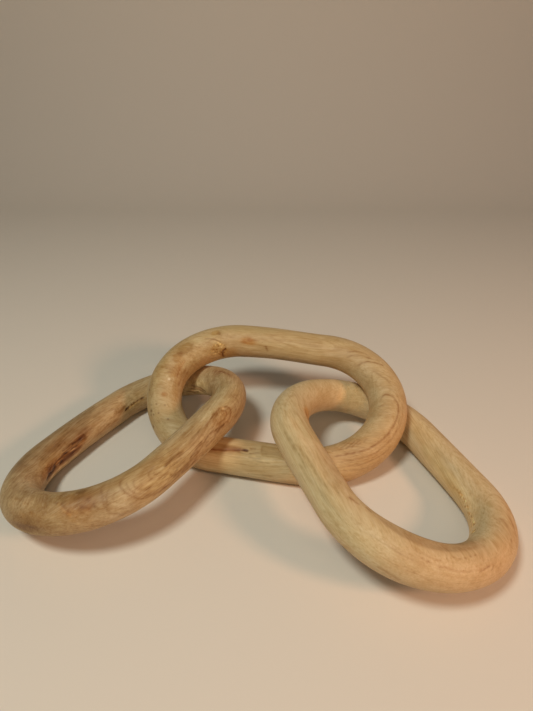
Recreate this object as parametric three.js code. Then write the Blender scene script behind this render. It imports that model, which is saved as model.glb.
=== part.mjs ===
// Carved wooden chain: three oval links, each one closed ring of solid wood, hooked through
// one another and lying on a flat surface.  Millimetres, +Z up.  X runs along the spread-out
// chain and Y across it.  The origin is on the surface, under the middle of the chain's box.
//
// Each link is a round bar bent along a stadium: two straight bars joined by two half-circle
// bends.  The links are hand shaped, so their outline, their girth and the plane they lie in
// wander a little.  Each link leans: one of its straight bars rests on the surface, worn flat
// there, and its bends lie over or under the bends of its neighbour.
import * as THREE from 'three';

// ---- sizes shared by the links -------------------------------------------------------------
const SECTIONS = 72;      // steps round each link
const SIDES = 20;         // sides of the bar's section
const REST_FLAT = 0.8;    // how deep the resting bars are worn flat
const STEP = 1 / 4000;    // share of the loop used to find its direction

// ---- the three links -----------------------------------------------------------------------
// halfBar      half the length of a straight bar
// bend         radius of the bends, to the middle of the wood
// stock        radius of the round bar
// centre       the middle of the loop, before its resting bar is worn flat
// yaw          direction of the long axis, from +X towards +Y
// pitch        rise of the long axis
// lean         turn about the long axis that lifts one bar off the surface
// outline      how far the loop swells (mm), per wave number: [cosine, sine]
// girth        how far the bar's radius swells (mm), per wave number
// warp         how far the loop leaves its own plane (mm), per wave number
// planed       flats left by the plane: middle and half-length as shares of the loop,
//              direction round the section (degrees, 0 outwards, 90 along the loop's normal)
//              and depth (mm)
// restsAt      share of the loop at the middle of the bar that rests
const LINKS = [
  {
    name: 'link_left',
    halfBar: 58.8, bend: 90.8, stock: 22.3,
    centre: [-147.4, 25.8, 46.4], yaw: 59.66, pitch: -0.52, lean: -15.56,
    outline: { 2: [0.41, -0.34], 3: [0.31, -0.29], 4: [0.67, 0.07], 5: [-0.26, 0.15], 6: [0.31, 0.09] },
    girth: { 2: [-0.09, 0.60], 3: [0.04, 0.34] },
    warp: { 2: [0.15, 0.13], 3: [-0.55, 0.33] },
    planed: [{ at: 0.753, half: 0.034, phi: -8, depth: 1.3 }],
    restsAt: 0.5,
    colour: 0xc39a63, roughness: 0.62,
  },
  {
    name: 'link_centre',
    halfBar: 60.1, bend: 88.7, stock: 23.55,
    centre: [27.6, 83.5, 61.9], yaw: -10.88, pitch: -0.68, lean: 25.12,
    outline: { 2: [-0.40, -0.15], 3: [0.15, -0.51], 4: [1.23, 0.31], 5: [-0.47, 0.06], 6: [-0.14, 0.38] },
    girth: { 1: [0.24, 0.33], 2: [-0.70, 0.45], 3: [0.24, -0.10] },
    warp: { 2: [-0.25, 0.35], 3: [-0.16, 0.11] },
    planed: [{ at: 0.985, half: 0.07, phi: 92, depth: 1.5 }],
    restsAt: 0,
    colour: 0xcdae74, roughness: 0.6,
  },
  {
    name: 'link_right',
    halfBar: 54.9, bend: 93.9, stock: 23.1,
    centre: [155.6, -29.3, 47.4], yaw: -71.58, pitch: -0.05, lean: -14.94,
    outline: { 2: [0.18, -0.18], 4: [0.50, -0.29] },
    girth: { 1: [0.05, -0.26], 2: [-0.04, -0.45], 3: [-0.08, -0.12], 4: [-0.65, -0.20], 5: [0.15, -0.17], 6: [0.32, 0.11] },
    warp: { 2: [-0.15, 0], 3: [-0.28, 0.46] },
    planed: [],
    restsAt: 0.5,
    colour: 0xcab481, roughness: 0.6,
  },
];

const RAD = Math.PI / 180;

// A sum of waves round the loop, at share s of its length.
function waves(table, s) {
  let sum = 0;
  for (const k of Object.keys(table)) {
    const a = 2 * Math.PI * Number(k) * s;
    sum += table[k][0] * Math.cos(a) + table[k][1] * Math.sin(a);
  }
  return sum;
}

// The stadium: point and outward normal at share s, from the middle of the lower bar, going
// towards +x first.
function stadium(link, s) {
  const a = link.halfBar, R = link.bend, bend = Math.PI * R;
  let d = ((s % 1) + 1) % 1 * (4 * a + 2 * bend);
  if (d < a) return { x: d, y: -R, nx: 0, ny: -1 };
  d -= a;
  if (d < bend) {
    const t = d / R - Math.PI / 2;
    return { x: a + R * Math.cos(t), y: R * Math.sin(t), nx: Math.cos(t), ny: Math.sin(t) };
  }
  d -= bend;
  if (d < 2 * a) return { x: a - d, y: R, nx: 0, ny: 1 };
  d -= 2 * a;
  if (d < bend) {
    const t = d / R + Math.PI / 2;
    return { x: -a + R * Math.cos(t), y: R * Math.sin(t), nx: Math.cos(t), ny: Math.sin(t) };
  }
  d -= bend;
  return { x: -a + d, y: -R, nx: 0, ny: -1 };
}

// The middle of the wood at share s, in the link's own plane.
function middle(link, s) {
  const p = stadium(link, s), swell = waves(link.outline, s);
  return [p.x + p.nx * swell, p.y + p.ny * swell];
}

// Radius of the section at share s and direction phi, with the planed flats cut in.
function radius(link, s, phi) {
  let r = link.stock + waves(link.girth, s);
  for (const f of link.planed) {
    const away = Math.abs(((s - f.at + 1.5) % 1) - 0.5) / f.half;
    const turn = Math.cos(phi - f.phi * RAD);
    if (away < 1 && turn > 0.2) r = Math.min(r, (r - f.depth * (1 - away * away)) / turn);
  }
  return r;
}

// One link: a ring of sections swept round the loop, closed on itself.
function linkGeometry(link, toWorld, toLocal) {
  const down = new THREE.Vector3(0, 0, -1).transformDirection(toLocal);
  const side = link.restsAt === 0 ? -1 : 1;       // outward normal of the resting bar is (0, side, 0)
  const phiDown = Math.atan2(down.z, side * down.y);
  const positions = [], index = [];
  const p = new THREE.Vector3();
  for (let i = 0; i < SECTIONS; i++) {
    const s = i / SECTIONS;
    const [x, y] = middle(link, s);
    const [x1, y1] = middle(link, s + STEP), [x0, y0] = middle(link, s - STEP);
    const length = Math.hypot(x1 - x0, y1 - y0);
    const nx = (y1 - y0) / length, ny = -(x1 - x0) / length;   // outwards
    const lift = waves(link.warp, s);
    for (let j = 0; j < SIDES; j++) {
      const phi = phiDown + (2 * Math.PI * (j + 0.5)) / SIDES;
      const r = radius(link, s, phi);
      p.set(x + nx * r * Math.cos(phi), y + ny * r * Math.cos(phi), lift + r * Math.sin(phi));
      p.applyMatrix4(toWorld);
      p.z = Math.max(p.z, 0);                      // worn flat where it rests
      p.applyMatrix4(toLocal);
      positions.push(p.x, p.y, p.z);
    }
  }
  for (let i = 0; i < SECTIONS; i++) {
    const i1 = (i + 1) % SECTIONS;
    for (let j = 0; j < SIDES; j++) {
      const j1 = (j + 1) % SIDES;
      const a = i * SIDES + j, b = i1 * SIDES + j, c = i1 * SIDES + j1, d = i * SIDES + j1;
      index.push(a, b, c, a, c, d);
    }
  }
  const geometry = new THREE.BufferGeometry();
  geometry.setAttribute('position', new THREE.Float32BufferAttribute(positions, 3));
  geometry.setIndex(index);
  geometry.computeVertexNormals();
  return geometry;
}

const chain = new THREE.Group();
for (const link of LINKS) {
  const turned = new THREE.Quaternion()
    .setFromAxisAngle(new THREE.Vector3(0, 0, 1), link.yaw * RAD)
    .multiply(new THREE.Quaternion().setFromAxisAngle(new THREE.Vector3(0, 1, 0), -link.pitch * RAD))
    .multiply(new THREE.Quaternion().setFromAxisAngle(new THREE.Vector3(1, 0, 0), link.lean * RAD));
  const place = new THREE.Vector3(...link.centre);
  place.z -= REST_FLAT;
  const toWorld = new THREE.Matrix4().compose(place, turned, new THREE.Vector3(1, 1, 1));
  const toLocal = toWorld.clone().invert();
  const mesh = new THREE.Mesh(
    linkGeometry(link, toWorld, toLocal),
    new THREE.MeshStandardMaterial({ color: link.colour, roughness: link.roughness, metalness: 0 }));
  mesh.name = link.name;
  mesh.position.copy(place);
  mesh.quaternion.copy(turned);
  chain.add(mesh);
}

export default chain;
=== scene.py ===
import math

import bpy
import numpy as np
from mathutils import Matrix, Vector


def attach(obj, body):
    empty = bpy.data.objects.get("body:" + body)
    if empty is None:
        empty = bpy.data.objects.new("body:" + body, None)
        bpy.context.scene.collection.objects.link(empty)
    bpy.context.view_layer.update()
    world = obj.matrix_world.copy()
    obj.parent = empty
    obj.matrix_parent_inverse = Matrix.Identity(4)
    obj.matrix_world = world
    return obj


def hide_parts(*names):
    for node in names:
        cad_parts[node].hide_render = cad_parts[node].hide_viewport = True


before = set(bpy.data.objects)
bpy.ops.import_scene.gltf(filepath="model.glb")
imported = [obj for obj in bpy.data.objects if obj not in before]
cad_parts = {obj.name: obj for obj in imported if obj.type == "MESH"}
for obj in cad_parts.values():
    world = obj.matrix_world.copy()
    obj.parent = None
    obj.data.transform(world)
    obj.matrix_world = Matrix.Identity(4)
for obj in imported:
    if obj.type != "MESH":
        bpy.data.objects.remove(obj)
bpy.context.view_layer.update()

# Carved wooden chain: three closed oval rings of pale wood, hooked through one another and lying
# on a surface.  Each ring's fine surface is one dense mesh on the same loop and section as its
# solid: the hand-worked undulations, cracks, pits, knots and repairs are cut into the mesh, and
# the growth rings and fibres are solid figures that run through the wood.
# Lengths of the rings are in millimetres here and become metres when a mesh is made.

MM = 0.001
RAD = math.pi / 180.0

# ---- the three rings, as in the solid model --------------------------------------------------
REST_FLAT = 0.8
INSET = 0.16              # how far the fine surface stays inside the true one
CRACK_GUARD = 3.0         # deepest relief allowed

LINKS = {
    "link_left": dict(
        half_bar=58.8, bend=90.8, stock=22.3,
        centre=(-147.4, 25.8, 46.4), yaw=59.66, pitch=-0.52, lean=-15.56,
        outline={2: (0.41, -0.34), 3: (0.31, -0.29), 4: (0.67, 0.07), 5: (-0.26, 0.15), 6: (0.31, 0.09)},
        girth={2: (-0.09, 0.60), 3: (0.04, 0.34)},
        warp={2: (0.15, 0.13), 3: (-0.55, 0.33)},
        planed=[dict(at=0.753, half=0.034, phi=-8, depth=1.3)],
        seed=11),
    "link_centre": dict(
        half_bar=60.1, bend=88.7, stock=23.55,
        centre=(27.6, 83.5, 61.9), yaw=-10.88, pitch=-0.68, lean=25.12,
        outline={2: (-0.40, -0.15), 3: (0.15, -0.51), 4: (1.23, 0.31), 5: (-0.47, 0.06), 6: (-0.14, 0.38)},
        girth={1: (0.24, 0.33), 2: (-0.70, 0.45), 3: (0.24, -0.10)},
        warp={2: (-0.25, 0.35), 3: (-0.16, 0.11)},
        planed=[dict(at=0.985, half=0.07, phi=92, depth=1.5)],
        seed=23),
    "link_right": dict(
        half_bar=54.9, bend=93.9, stock=23.1,
        centre=(155.6, -29.3, 47.4), yaw=-71.58, pitch=-0.05, lean=-14.94,
        outline={2: (0.18, -0.18), 4: (0.50, -0.29)},
        girth={1: (0.05, -0.26), 2: (-0.04, -0.45), 3: (-0.08, -0.12), 4: (-0.65, -0.20), 5: (0.15, -0.17), 6: (0.32, 0.11)},
        warp={2: (-0.15, 0.0), 3: (-0.28, 0.46)},
        planed=[],
        seed=37),
}

ALONG = 726               # steps round the loop
AROUND = 134              # steps round the bar


def waves(table, s):
    total = np.zeros_like(s)
    for k, (c, d) in table.items():
        total = total + c * np.cos(2 * np.pi * k * s) + d * np.sin(2 * np.pi * k * s)
    return total


def stadium(link, s):
    a, R = link["half_bar"], link["bend"]
    bend = math.pi * R
    d = np.mod(s, 1.0) * (4 * a + 2 * bend)
    t1 = (d - a) / R - math.pi / 2
    t2 = (d - 3 * a - bend) / R + math.pi / 2
    zones = [d < a, d < a + bend, d < 3 * a + bend, d < 3 * a + 2 * bend]
    x = np.select(zones, [d, a + R * np.cos(t1), 2 * a - (d - bend), -a + R * np.cos(t2)], -a + (d - 3 * a - 2 * bend))
    y = np.select(zones, [-R + 0 * d, R * np.sin(t1), R + 0 * d, R * np.sin(t2)], -R + 0 * d)
    nx = np.select(zones, [0 * d, np.cos(t1), 0 * d, np.cos(t2)], 0 * d)
    ny = np.select(zones, [-1 + 0 * d, np.sin(t1), 1 + 0 * d, np.sin(t2)], -1 + 0 * d)
    return x, y, nx, ny


def middle(link, s):
    x, y, nx, ny = stadium(link, s)
    swell = waves(link["outline"], s)
    return x + nx * swell, y + ny * swell


def outwards(link, s, e=1 / 4000):
    x1, y1 = middle(link, s + e)
    x0, y0 = middle(link, s - e)
    length = np.hypot(x1 - x0, y1 - y0)
    return (y1 - y0) / length, -(x1 - x0) / length


def radius(link, s, phi):
    r = link["stock"] + waves(link["girth"], s) + 0 * phi
    for f in link["planed"]:
        away = np.abs(np.mod(s - f["at"] + 1.5, 1.0) - 0.5) / f["half"]
        turn = np.cos(phi - f["phi"] * RAD)
        cut = (r - f["depth"] * (1 - away * away)) / np.maximum(turn, 0.2)
        r = np.where((away < 1) & (turn > 0.2), np.minimum(r, cut), r)
    return r


def surface(link, s, phi, r=None):
    """Points of the ring's surface in its own frame (mm)."""
    x, y = middle(link, s)
    nx, ny = outwards(link, s)
    if r is None:
        r = radius(link, s, phi)
    lift = waves(link["warp"], s)
    c = r * np.cos(phi)
    return np.stack([x + nx * c, y + ny * c, lift + r * np.sin(phi)], axis=-1)


def axes(link):
    yaw, pitch, lean = (link[k] * RAD for k in ("yaw", "pitch", "lean"))
    u = np.array([math.cos(yaw) * math.cos(pitch), math.sin(yaw) * math.cos(pitch), math.sin(pitch)])
    v0 = np.array([-math.sin(yaw), math.cos(yaw), 0.0])
    w0 = np.cross(u, v0)
    v = math.cos(lean) * v0 + math.sin(lean) * w0
    w = np.cross(u, v)
    return np.stack([u, v, w], axis=1)


# ---- seeded noise ----------------------------------------------------------------------------
def lattice(i, j, k, seed):
    n = (i.astype(np.int64) * 73856093) ^ (j.astype(np.int64) * 19349663) ^ (k.astype(np.int64) * 83492791) ^ (seed * 40503)
    n = (n & 0xFFFFFFFF).astype(np.uint64)
    n = ((n ^ (n >> np.uint64(13))) * np.uint64(1274126177)) & np.uint64(0xFFFFFFFF)
    n = n ^ (n >> np.uint64(16))
    n = (n * np.uint64(2246822519)) & np.uint64(0xFFFFFFFF)
    n = n ^ (n >> np.uint64(15))
    return n.astype(np.float64) / 2147483648.0 - 1.0


def noise(P, scale, seed):
    """Smooth noise from -1 to 1.  scale is a length, or one for each axis."""
    Q = P / np.asarray(scale, dtype=float)
    b = np.floor(Q)
    f = Q - b
    f = f * f * f * (f * (f * 6 - 15) + 10)
    out = 0.0
    for dx in (0, 1):
        wx = f[..., 0] if dx else 1 - f[..., 0]
        for dy in (0, 1):
            wy = f[..., 1] if dy else 1 - f[..., 1]
            for dz in (0, 1):
                wz = f[..., 2] if dz else 1 - f[..., 2]
                out = out + wx * wy * wz * lattice(b[..., 0] + dx, b[..., 1] + dy, b[..., 2] + dz, seed)
    return out


def cloud(P, scale, seed, octaves=3, rough=0.5):
    scale = np.asarray(scale, dtype=float)
    out, gain, total = 0.0, 1.0, 0.0
    for o in range(octaves):
        out = out + gain * noise(P + 17.3 * o, scale / 2 ** o, seed + o)
        total += gain
        gain *= rough
    return out / total


def smooth(a, b, x):
    t = np.clip((x - a) / (b - a), 0, 1)
    return t * t * (3 - 2 * t)


def turn(d):
    """Difference of two directions round the bar, -pi to pi."""
    return np.mod(d + np.pi, 2 * np.pi) - np.pi


def around(s, at):
    """Difference of two shares of the loop, -0.5 to 0.5."""
    return np.mod(s - at + 0.5, 1.0) - 0.5


# ---- marks on the surface --------------------------------------------------------------------
class Skin:
    """One ring's grid of points, and the marks that are laid on it."""

    def __init__(self, name):
        self.name = name
        self.link = LINKS[name]
        self.length = 4 * self.link["half_bar"] + 2 * math.pi * self.link["bend"]

    def lay_grid(self, dense_s, dense_phi, anchor):
        """Spaces the grid so that it is finer along the named bands."""
        fine = np.arange(7200) / 7200
        weight = np.ones_like(fine)
        for at, width, amount in dense_s:
            weight += amount * np.exp(-(around(fine, at) / width) ** 2)
        total = np.concatenate([[0], np.cumsum(weight)])
        self.s1 = np.interp(np.arange(ALONG) / ALONG * total[-1], total, np.arange(7201) / 7200)
        turns = np.arange(720) / 720 * 2 * np.pi
        phi = np.zeros((ALONG, AROUND))
        for i, s in enumerate(self.s1):
            weight = np.ones_like(turns)
            for path, width, amount in dense_phi:
                ss = np.array([p[0] for p in path])
                pp = np.array([p[1] for p in path]) * RAD
                mid = 0.5 * (ss[0] + ss[-1])
                here = around(np.array(s), mid)
                rel = ss - mid
                lo, hi = rel.min(), rel.max()
                edge = 0.02
                if lo - edge < here < hi + edge:
                    order = np.argsort(rel)
                    at = np.interp(here, rel[order], pp[order])
                    window = min(smooth(lo - edge, lo, here), 1 - smooth(hi, hi + edge, here))
                    weight += amount * window * np.exp(-(turn(turns + anchor * RAD - at) / (width * RAD)) ** 2)
            total = np.concatenate([[0], np.cumsum(weight)])
            phi[i] = np.interp(np.arange(AROUND) / AROUND * total[-1], total, np.arange(721) / 720 * 2 * np.pi)
        self.phi = phi + anchor * RAD
        self.s = np.repeat(self.s1[:, None], AROUND, axis=1)
        self.r = radius(self.link, self.s, self.phi)
        self.P = surface(self.link, self.s, self.phi, self.r)
        self.depth = np.zeros_like(self.s)
        self.colour = np.ones(self.s.shape + (3,))
        self.rough = np.zeros_like(self.s)
        self.vein = np.full_like(self.s, 0.10)

    def at(self, s, phi):
        return surface(self.link, np.array([s]), np.array([phi * RAD]))[0]

    def path(self, points, step=1.5):
        """A line of (share, degrees) points, drawn fine over the surface."""
        out = []
        for (s0, f0), (s1, f1) in zip(points[:-1], points[1:]):
            ds = (s1 - s0 + 0.5) % 1.0 - 0.5
            n = max(2, int(math.hypot(ds * self.length, (f1 - f0) * RAD * 23) / step))
            t = np.arange(n) / n
            out.append(np.stack([s0 + ds * t, f0 + (f1 - f0) * t], axis=1))
        out.append(np.array([points[-1]], dtype=float))
        out = np.concatenate(out)
        # rounds the corners of the line
        for _ in range(3):
            mid = out.copy()
            mid[1:-1] = 0.25 * out[:-2] + 0.5 * out[1:-1] + 0.25 * out[2:]
            out = mid
        return surface(self.link, out[:, 0], out[:, 1] * RAD)

    def to_line(self, points, reach, wander=0.0, seed=0):
        """Distance (mm) to a line, and how far along it from 0 to 1.  Far points get reach."""
        line = self.path(points)
        if wander:
            line = line + wander * np.stack([noise(line, 5.0, seed + k) for k in range(3)], axis=1)
        lo, hi = line.min(0) - reach, line.max(0) + reach
        P = self.P
        near = ((P > lo) & (P < hi)).all(axis=-1)
        dist = np.full(self.s.shape, float(reach))
        along = np.zeros_like(dist)
        pts = P[near]
        best = np.full(len(pts), float(reach))
        share = np.zeros(len(pts))
        lengths = np.linalg.norm(np.diff(line, axis=0), axis=1)
        start = np.concatenate([[0], np.cumsum(lengths)])
        for k in range(len(line) - 1):
            a, b = line[k], line[k + 1]
            ab = b - a
            t = np.clip(((pts - a) @ ab) / (ab @ ab), 0, 1)
            d = np.linalg.norm(pts - a - t[:, None] * ab, axis=1)
            m = d < best
            best[m] = d[m]
            share[m] = (start[k] + t[m] * lengths[k]) / start[-1]
        dist[near] = best
        along[near] = share
        return dist, along

    def spot(self, s, phi, long, wide, turned=0.0):
        """Reach of a soft oval mark: 1 at its middle.  long runs along the bar, wide across it."""
        c = self.at(s, phi)
        e = 1e-3
        ahead = self.at(s + e, phi) - self.at(s - e, phi)
        ahead /= np.linalg.norm(ahead)
        side = self.at(s, phi + 0.5) - self.at(s, phi - 0.5)
        side /= np.linalg.norm(side)
        d = self.P - c
        u, v = d @ ahead, d @ side
        up = d @ np.cross(ahead, side)
        if turned:
            cu, su = math.cos(turned * RAD), math.sin(turned * RAD)
            u, v = cu * u + su * v, -su * u + cu * v
        near = np.exp(-(up / (1.4 * max(long, wide) + 6)) ** 2)
        return np.exp(-(u / long) ** 2 - (v / wide) ** 2) * near

    def tint(self, amount, colour):
        """Multiplies the colour by colour where amount is 1."""
        amount = np.clip(amount, 0, 1)[..., None]
        self.colour *= 1 + amount * (np.array(colour) - 1)

    def groove(self, points, half, deep, colour=(0.25, 0.16, 0.10), stain=1.0, wander=0.3, seed=1, halo=None):
        """A crack or cut line: its depth, its dark colour and, if wanted, the stain beside it."""
        d, t = self.to_line(points, 14.0, wander, seed)
        taper = smooth(0, 0.12, t) * (1 - smooth(0.88, 1, t))
        broken = 0.75 + 0.25 * noise(self.P, 3.0, seed + 5)
        g = np.exp(-(d / half) ** 2) * taper * broken
        self.depth -= deep * g
        self.tint(stain * np.clip(1.25 * g, 0, 1), colour)
        if halo:
            self.tint(np.exp(-(d / halo[0]) ** 2) * taper, halo[1])
        return g

    def stroke(self, points, half, amount, colour, seed=1, wander=0.5, fade=0.15, patchy=0.35, deep=0.0):
        """A soft coloured line, thinner and paler in places, and a shallow furrow if wanted."""
        d, t = self.to_line(points, 5 * half + 3.0, wander, seed)
        taper = smooth(0, fade, t) * (1 - smooth(1 - fade, 1, t)) if fade else 1.0
        uneven = 1 - patchy + patchy * noise(self.P, 4.0, seed + 5)
        g = np.exp(-(d / (1.15 * half)) ** 2) * taper * np.clip(uneven, 0, 1)
        self.tint(1.25 * amount * g, np.array(colour) ** 1.45)
        self.depth -= deep * g
        return g

    def blot(self, s, phi, long, wide, amount, colour, seed=1, turned=0.0, ragged=0.35, grain=(9.0, 4.0, 4.0)):
        """A patch of another colour with an uneven edge."""
        g = self.spot(s, phi, long * 1.15, wide * 1.15, turned)
        g = smooth(0.12, 0.70, g * (1 + ragged * cloud(self.P, grain, seed, 3)) + 0.25 * ragged * cloud(self.P, grain, seed + 9, 2) * (g > 0.03))
        self.tint(amount * g, colour)
        return g

    def flat(self, points, deep, fade=0.2):
        """A long flat left by the blade, deep at the middle of its length, along (share, degrees)."""
        ss = np.array([p[0] for p in points])
        mid = 0.5 * (ss[0] + ss[-1])
        here = around(self.s, mid)
        at = np.interp(here, ss - mid, np.array([p[1] for p in points])) * RAD
        half = 0.5 * (ss[-1] - ss[0])
        window = 1 - smooth(half * (1 - fade * 2), half, np.abs(here))
        c = np.cos(self.phi - at)
        cut = (self.r - deep * window) / np.maximum(c, 0.3) - self.r
        self.depth = np.minimum(self.depth, np.where((c > 0.3) & (window > 0), np.minimum(cut, 0), 0))

    def pit(self, s, phi, wide, deep, colour=(0.45, 0.33, 0.22), long=None):
        g = self.spot(s, phi, long or wide, wide)
        self.depth -= deep * g
        self.tint(g, colour)


# ---- growth rings: the field whose whole numbers are the dark lines --------------------------
def soft_clip(x, lo, hi, width):
    """x, eased to stay between lo and hi."""
    x = lo + width * np.logaddexp(0, (x - lo) / width)
    return hi - width * np.logaddexp(0, (hi - x) / width)


def rings_left(P):
    x, y, z = P[..., 0], P[..., 1], P[..., 2]
    k = x / 50
    return np.hypot(y + 40, z + 20) + 4.55 * k + 4.35 * k * k - 3.6 * x * z / 1000 - 9.9 * z / 20


def rings_centre(P):
    x, y, z = P[..., 0], P[..., 1], P[..., 2]
    X = (soft_clip(x, 55, 175, 14) - 130) / 40
    Y = y / 60
    right = z - 3.31 * X - 6.99 * Y + 0.51 * X ** 2 - 4.60 * X * Y - 7.70 * Y ** 2
    rest = z + 0.035 * x - 0.03 * y - 0.0006 * (y + 30) ** 2
    w = smooth(-60, 110, x)
    return w * right + (1 - w) * (rest + 1.5)


def rings_right(P):
    x, y, z = P[..., 0], P[..., 1], P[..., 2]
    X = (soft_clip(x, -60, 175, 25) - 130) / 40
    Y = y / 60
    return z + 5.14 * X - 2.11 * Y - 0.13 * X ** 2 + 1.80 * X * Y - 1.23 * Y ** 2 + 0.02 * np.minimum(x + 60, 0)


# ---- materials -------------------------------------------------------------------------------
def srgb(r, g, b):
    c = np.array([r, g, b]) / 255.0
    return np.where(c <= 0.04045, c / 12.92, ((c + 0.055) / 1.055) ** 2.4)


class Nodes:
    def __init__(self, name):
        self.material = bpy.data.materials.new(name)
        self.material.use_nodes = True
        self.tree = self.material.node_tree
        self.tree.nodes.clear()

    def new(self, kind, **props):
        node = self.tree.nodes.new(kind)
        for k, v in props.items():
            setattr(node, k, v)
        return node

    def link(self, a, b):
        self.tree.links.new(a, b)

    def put(self, socket, value):
        if isinstance(value, bpy.types.NodeSocket):
            self.link(value, socket)
        elif value is not None:
            socket.default_value = value

    def attribute(self, name, output="Fac"):
        return self.new("ShaderNodeAttribute", attribute_type="GEOMETRY", attribute_name=name).outputs[output]

    def math(self, op, a, b=None, c=None, clamp=False):
        n = self.new("ShaderNodeMath", operation=op, use_clamp=clamp)
        for i, v in enumerate((a, b, c)):
            if v is not None:
                self.put(n.inputs[i], v)
        return n.outputs[0]

    def scaled(self, vector, scale):
        n = self.new("ShaderNodeVectorMath", operation="MULTIPLY")
        self.link(vector, n.inputs[0])
        n.inputs[1].default_value = scale
        return n.outputs[0]

    def noise(self, vector, scale, detail=3.0, rough=0.5, distortion=0.0):
        n = self.new("ShaderNodeTexNoise", noise_dimensions="3D")
        self.link(self.scaled(vector, scale), n.inputs["Vector"])
        n.inputs["Scale"].default_value = 1.0
        n.inputs["Detail"].default_value = detail
        n.inputs["Roughness"].default_value = rough
        n.inputs["Distortion"].default_value = distortion
        return n.outputs[0]

    def remap(self, value, a, b, lo=0.0, hi=1.0, kind="SMOOTHSTEP"):
        n = self.new("ShaderNodeMapRange", interpolation_type=kind, clamp=True) if kind == "LINEAR" else self.new("ShaderNodeMapRange", interpolation_type=kind)
        self.link(value, n.inputs[0])
        for i, v in zip((1, 2, 3, 4), (a, b, lo, hi)):
            n.inputs[i].default_value = v
        return n.outputs[0]

    def mix(self, mode, factor, a, b):
        n = self.new("ShaderNodeMix", data_type="RGBA", blend_type=mode)
        n.clamp_factor = True
        self.put(n.inputs[0], factor)
        self.put(n.inputs[6], a if isinstance(a, bpy.types.NodeSocket) else tuple(a) + (1.0,))
        self.put(n.inputs[7], b if isinstance(b, bpy.types.NodeSocket) else tuple(b) + (1.0,))
        return n.outputs[2]


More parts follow.
